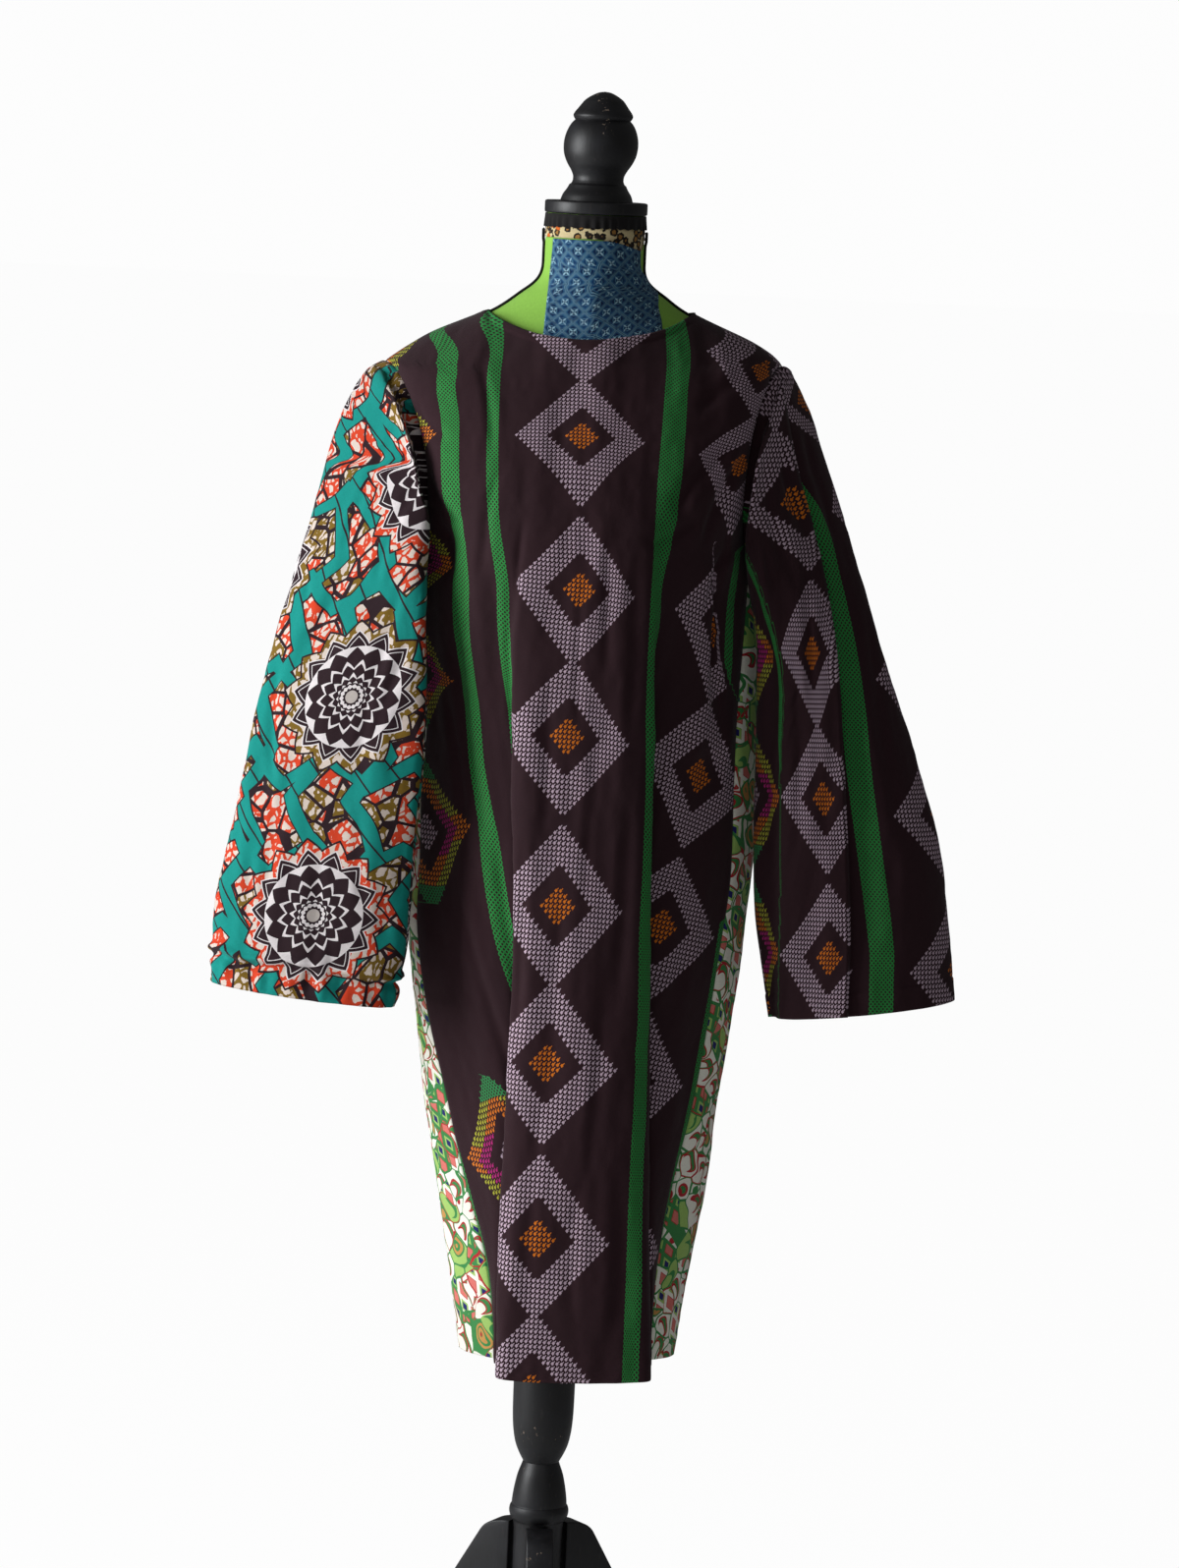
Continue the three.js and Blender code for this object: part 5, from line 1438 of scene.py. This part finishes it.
def stands_for(piece, slot, *nodes):
    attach(piece, "root")
    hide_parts(*nodes)
    return piece


def bare(piece):
    """A closed or backed skin needs no second wall."""
    piece.modifiers.clear()
    return piece


def form_cover():
    """The padded form in lime cotton, from its flat bottom to the top of its collar."""
    turn = np.linspace(math.pi / 2, math.pi / 2 + 2 * math.pi, FORM_COLUMNS + 1)
    heights = [np.arange(837, 844, 1.4), np.arange(846, 1380, 7), np.arange(1380, 1508, 2.5)]
    rings = [(836.4, scale) for scale in (0.0, 0.3, 0.6, 0.85, 0.97)]
    rings += [(z, 1.0) for z in (*np.concatenate(heights), 1507.8, 1508.4, 1520, 1531.6)]
    rings += [(1531.7, scale) for scale in (0.5, 0.0)]
    skin = [[form_point(z, angle, 0, scale) for angle in turn] for z, scale in rings[::-1]]
    skin = np.array(skin)
    cover = bare(cloth_piece("form_cover", skin, skin_map(skin, FORM_COLUMNS // 2), LIME))
    stands_for(cover, "lime", "form_body")


def neck_print():
    """The printed panel on the front of the neck."""
    left_edge, right_edge = track(NECK_PANEL, "left"), track(NECK_PANEL, "right")
    points = []
    for z in np.linspace(1507.5, PANEL_LOW_Z, 80).tolist():
        ends = form_angle(z, left_edge(z)), form_angle(z, right_edge(z))
        turn = np.linspace(*ends, PANEL_COLUMNS)
        on_left = ease(np.arange(PANEL_COLUMNS) / 31.5 - 1.1)
        fall = (PANEL_FALL * on_left * (z - PANEL_LOW_Z) / 110).tolist()
        points.append([form_point(z - low, angle, 1.7) for angle, low in zip(turn, fall)])
    points = np.array(points)
    across, down = lengths_along(points, 1, 0), lengths_along(points, 0, 0)
    from_side = np.minimum(across, across[:, -1:] - across)
    lift = 0.5 * ripple(across, down, 14, 30, 71) + seam_dip(from_side, 0.9, 1.6)
    lift += 0.4 * turned_edge(from_side, 7)
    points = points + normals_of(points) * lift[..., None]
    layout = skin_map(points, PANEL_COLUMNS // 2)
    stands_for(cloth_piece("neck_print", points, layout, BLUE, 0.8), "blue", "neck_print_panel")


def tube(name, path, radius, finish):
    """A round cord of cloth along a path, closed at both ends."""
    path = np.array(path, float)
    ahead = np.gradient(path, axis=0)
    ahead /= np.linalg.norm(ahead, axis=1, keepdims=True)
    side = np.cross(ahead, [0.0, 1.0, 0.0])
    up = np.cross(side, ahead)
    turn = np.linspace(0, 2 * math.pi, 17)
    size = np.full(len(path), float(radius))
    size[[0, -1]] = 0
    ring = side[:, None] * np.cos(turn)[None, :, None] + up[:, None] * np.sin(turn)[None, :, None]
    points = path[:, None] + ring * size[:, None, None]
    return bare(cloth_piece(name, points, skin_map(points, 0), finish))


def neck_piping(side):
    """The piping down one side of the neck, which sinks into the collar at its top."""
    route = []
    for z in np.linspace(1517, PIPING_ENDS[side], 66).tolist():
        slope = form_at(z + 0.5)[side] - form_at(z - 0.5)[side]
        out = Vector((1, -slope)).normalized() * mix(1.2, 2.1, float(fade(z, 1502, 6)))
        route.append((OUTWARD[side] * (form_at(z)[side] + out.x), 0.3 * math.sin(z), z + out.y))
    piping = tube("piping_" + side, route, PIPING_RADIUS, BLACK)
    stands_for(piping, "ruffle", "neck_piping_" + side)


def hoop(name, heights, radius, wobble, finish, slot, node):
    """A band of cloth round the collar; wobble says how far it stands out and hangs down."""
    points = []
    for z in heights:
        out, down = wobble(z, HOOP_TURN)
        x, y = (radius + out) * np.cos(HOOP_TURN), (radius + out) * np.sin(HOOP_TURN)
        points.append(np.stack([x, y, z + down], axis=-1))
    points = np.array(points)
    points[:, -1] = points[:, 0]
    stands_for(cloth_piece(name, points, skin_map(points, 144), finish, 0.7), slot, node)


def strip_wobble(z, turn):
    """The strip's lower edge falls on the wearer's left."""
    turned = np.mod(turn + math.pi, 2 * math.pi) - math.pi
    low = fade(turned, -1.5, 0.7) * fade(turned, -0.05, -0.3)
    return 0.25 * np.sin(turn * 9 + z), -10 * low * (1519.6 - z) / 11


def ruffle_wobble(z, turn):
    """Gathers that stand out and hang lower towards the ruffle's free edge."""
    loose = (1532 - z) / 13
    gather = np.sin(turn * 34 + 1.4 * np.sin(turn * 5))
    hang = np.abs(np.sin(turn * 17 + 0.7 * np.sin(turn * 5)))
    return loose * (0.9 * gather + 0.5), -loose * 1.6 * hang


form_cover()
neck_print()
for side in OUTWARD:
    neck_piping(side)
STRIP_HEIGHTS, RUFFLE_HEIGHTS = np.linspace(1519.6, 1508.6, 8), np.linspace(1531.6, 1519.8, 14)
hoop("spotted_strip", STRIP_HEIGHTS, 47.6, strip_wobble, SPOTTED, "sand", "neck_print_band")
hoop("ruffle", RUFFLE_HEIGHTS, 48.3, ruffle_wobble, BLACK, "ruffle", "neck_black_band")

# ------------------------------------------------------------------ the dress

front = panel("front_panel", -1, (98, 112), FRONT_CREASES, 11)
hung(front, "dress_front")
back = panel("back_panel", 1, (70, 76), BACK_CREASES, 21)
hung(back, "dress_back")
for side, seed in (("left", 31), ("right", 37)):
    gusset = side_panel("gusset_" + side, side, seed)
    hung(gusset, "side_panel_" + side)
for side, slot, seed in (("left", "wax", 41), ("right", "plum", 53)):
    arm = sleeve("long_sleeve_" + side, side, seed)
    hung(arm, "sleeve_" + side)

# ------------------------------------------------------------------ the stand


def turned_piece(name, table, node, lean=0.0):
    """A turned piece: its outline spun once round the stand's axis."""
    outline = [(row["r"], 0.0, row["z"]) for row in table]
    corners = [i for i, row in enumerate(table) if row["corner"]]
    line = []
    for a, b in zip(corners[:-1], corners[1:]):
        run = outline[a:b + 1]
        line.extend(smooth_line(run, 6)[0][:-1] if len(run) > 2 else run[:1])
    line.append(outline[-1])
    shape = bmesh.new()
    dots = [shape.verts.new(place(point)) for point in line]
    edges = [shape.edges.new(pair) for pair in zip(dots[:-1], dots[1:])]
    bmesh.ops.spin(
        shape, geom=dots + edges, cent=AXIS, axis=(0, 0, 1), angle=2 * math.pi, steps=96,
        use_merge=True,
    )
    bmesh.ops.remove_doubles(shape, verts=shape.verts, dist=SAME_PLACE)
    bmesh.ops.recalc_face_normals(shape, faces=shape.faces)
    foot = table[-1]["z"] * MM
    for dot in shape.verts:
        dot.co.x += lean * (dot.co.z - foot)
    stand_piece(name, shape, node)


def stand_piece(name, shape, node):
    mesh = mesh_from(name, shape)
    mesh.materials.append(LACQUER)
    mesh.polygons.foreach_set("use_smooth", [True] * len(mesh.polygons))
    mesh.set_sharp_from_angle(angle=math.radians(42))
    stands_for(link(bpy.data.objects.new(name, mesh)), "lacquer", node)


def bow(start, control, end):
    """Points of a bent edge, without its start."""
    t = np.linspace(0, 1, 11)[1:, None]
    a, b, c = (np.array(p, float) for p in (start, control, end))
    return [tuple(p) for p in (1 - t) ** 2 * a + 2 * t * (1 - t) * b + t * t * c]


def leg_outline():
    """A leg's side view, from the top of its inner end round over the foot."""
    start, top, root = LEG["start"], LEG["top"], LEG["root"]
    shoulder, knee, toe, instep = LEG["shoulder"], LEG["knee"], LEG["toe"], LEG["instep"]
    line = [(start, top)] + bow((start, top), (mix(start, shoulder[0], 0.75), top), shoulder)
    line += [knee] + bow(knee, (knee[0] + 24, toe[1] + 2), toe)
    line += [(LEG["end"], toe[1] - 6), (LEG["end"], 0), (LEG["heel"], 0)]
    line += bow((LEG["heel"], 0), (instep[0] + 30, 4), instep)
    return line + bow(instep, (instep[0] - 40, root - 6), (start, root))


def leg(node, angle):
    """One leg: a flat board, sawn to its outline, with its edges rounded."""
    shape = bmesh.new()
    dots = [shape.verts.new(Vector((x, LEG["thickness"] / 2, z))) for x, z in leg_outline()]
    made = bmesh.ops.extrude_face_region(shape, geom=[shape.faces.new(dots)])
    moved = [item for item in made["geom"] if isinstance(item, bmesh.types.BMVert)]
    bmesh.ops.translate(shape, verts=moved, vec=(0, -LEG["thickness"], 0))
    bmesh.ops.recalc_face_normals(shape, faces=shape.faces)
    rims = [edge for edge in shape.edges if abs(edge.verts[0].co.y - edge.verts[1].co.y) < 1]
    bmesh.ops.bevel(
        shape, geom=rims, offset=LEG["round"], segments=3, profile=0.5, affect="EDGES",
        material=-1,
    )
    bmesh.ops.triangulate(shape, faces=[face for face in shape.faces if len(face.verts) > 4])
    turned_by = Matrix.Rotation(math.radians(angle), 4, "Z")
    placed = Matrix.Translation(AXIS) @ Matrix.Scale(MM, 4) @ turned_by
    bmesh.ops.transform(shape, matrix=placed, verts=shape.verts)
    stand_piece(node.replace("leg", "board_leg"), shape, node)


turned_piece("turned_finial", FINIAL, "finial", FINIAL_LEAN)
turned_piece("cap_disc", CAP, "neck_cap")
turned_piece("turned_pole", POLE, "pole")
turned_piece("turned_hub", HUB, "hub")
for node, angle in LEG_ANGLES.items():
    leg(node, angle)

# ------------------------------------------------------------------ floor, light and camera

FLOOR_RADIUS = 60
CAMERA = {"y": -5.5, "z": 1.64, "down": 6.845, "right": 0.1895, "roll": 2.55, "lens": 130.6}


def studio():
    """A pale floor that runs far out on every side, with only a soft shadow on it."""
    floor = Paint("pale_floor", {"Roughness": 0.9, "Specular IOR Level": 0.1})
    darker, lighter = (0.80, 0.80, 0.80, 1), (0.84, 0.84, 0.84, 1)
    floor.feed("Base Color", floor.mix(floor.noise(floor.place(), 3.0), darker, lighter))
    white = floor.node("ShaderNodeEmission", {}, {"Strength": 1.0})
    seen = floor.node("ShaderNodeLightPath", {}, {}, "Is Camera Ray") * 0.97
    lit = Wire(floor, floor.shader.outputs[0])
    both = floor.node("ShaderNodeMixShader", {}, (seen, lit, white))
    floor.tree.links.new(both.socket, floor.tree.nodes["Material Output"].inputs["Surface"])
    shape = bmesh.new()
    bmesh.ops.create_circle(shape, cap_ends=True, segments=64, radius=FLOOR_RADIUS)
    mesh = mesh_from("studio_floor", shape)
    mesh.materials.append(floor.material)
    link(bpy.data.objects.new("studio_floor", mesh))


def surround(seen, given):
    """A world that looks white to the camera and gives the object a weaker, even light."""
    world = bpy.data.worlds.new("studio")
    bpy.context.scene.world = world
    world.use_nodes = True
    nodes, links = world.node_tree.nodes, world.node_tree.links
    path = nodes.new("ShaderNodeLightPath")
    strength = nodes.new("ShaderNodeMapRange")
    strength.inputs["To Min"].default_value = given
    strength.inputs["To Max"].default_value = seen
    links.new(path.outputs["Is Camera Ray"], strength.inputs["Value"])
    links.new(strength.outputs["Result"], nodes["Background"].inputs["Strength"])
    nodes["Background"].inputs["Color"].default_value = (1, 1, 1, 1)


def lamp(name, where, towards, size, power, colour=(1, 1, 1)):
    data = bpy.data.lights.new(name, "AREA")
    data.shape = "RECTANGLE"
    data.size, data.size_y = size
    data.energy = power
    data.color = colour
    piece = bpy.data.objects.new(name, data)
    piece.location = where
    piece.rotation_euler = (Vector(towards) - Vector(where)).to_track_quat("-Z", "Y").to_euler()
    link(piece)


def camera():
    """The camera, turned by angles to the right and down and rolled."""
    yaw, pitch, roll = (math.radians(CAMERA[name]) for name in ("right", "down", "roll"))
    flat = math.cos(pitch)
    ahead = Vector((math.sin(yaw) * flat, math.cos(yaw) * flat, -math.sin(pitch)))
    level = Vector((math.cos(yaw), -math.sin(yaw), 0))
    upright = level.cross(ahead)
    right = level * math.cos(roll) + upright * math.sin(roll)
    up = upright * math.cos(roll) - level * math.sin(roll)
    eye = bpy.data.objects.new("camera", bpy.data.cameras.new("camera"))
    turned_to = Matrix((right, up, -ahead)).transposed().to_4x4()
    where = (AXIS[0], AXIS[1] + CAMERA["y"], CAMERA["z"])
    eye.matrix_world = Matrix.Translation(where) @ turned_to
    eye.data.lens = CAMERA["lens"]
    eye.data.sensor_width = 36
    eye.data.clip_end = 50
    bpy.context.scene.camera = link(eye)


studio()
surround(0.98, 0.11)
middle = Vector((AXIS[0], AXIS[1], 1.0))
lamp("window", middle + Vector((-2.6, -0.8, 0.6)), middle, (1.2, 1.8), 92, (0.96, 0.98, 1.0))
lamp("fill", middle + Vector((0.4, -4.5, 1.4)), middle, (2.0, 2.0), 6)
camera()
bpy.context.scene.view_settings.view_transform = "Standard"
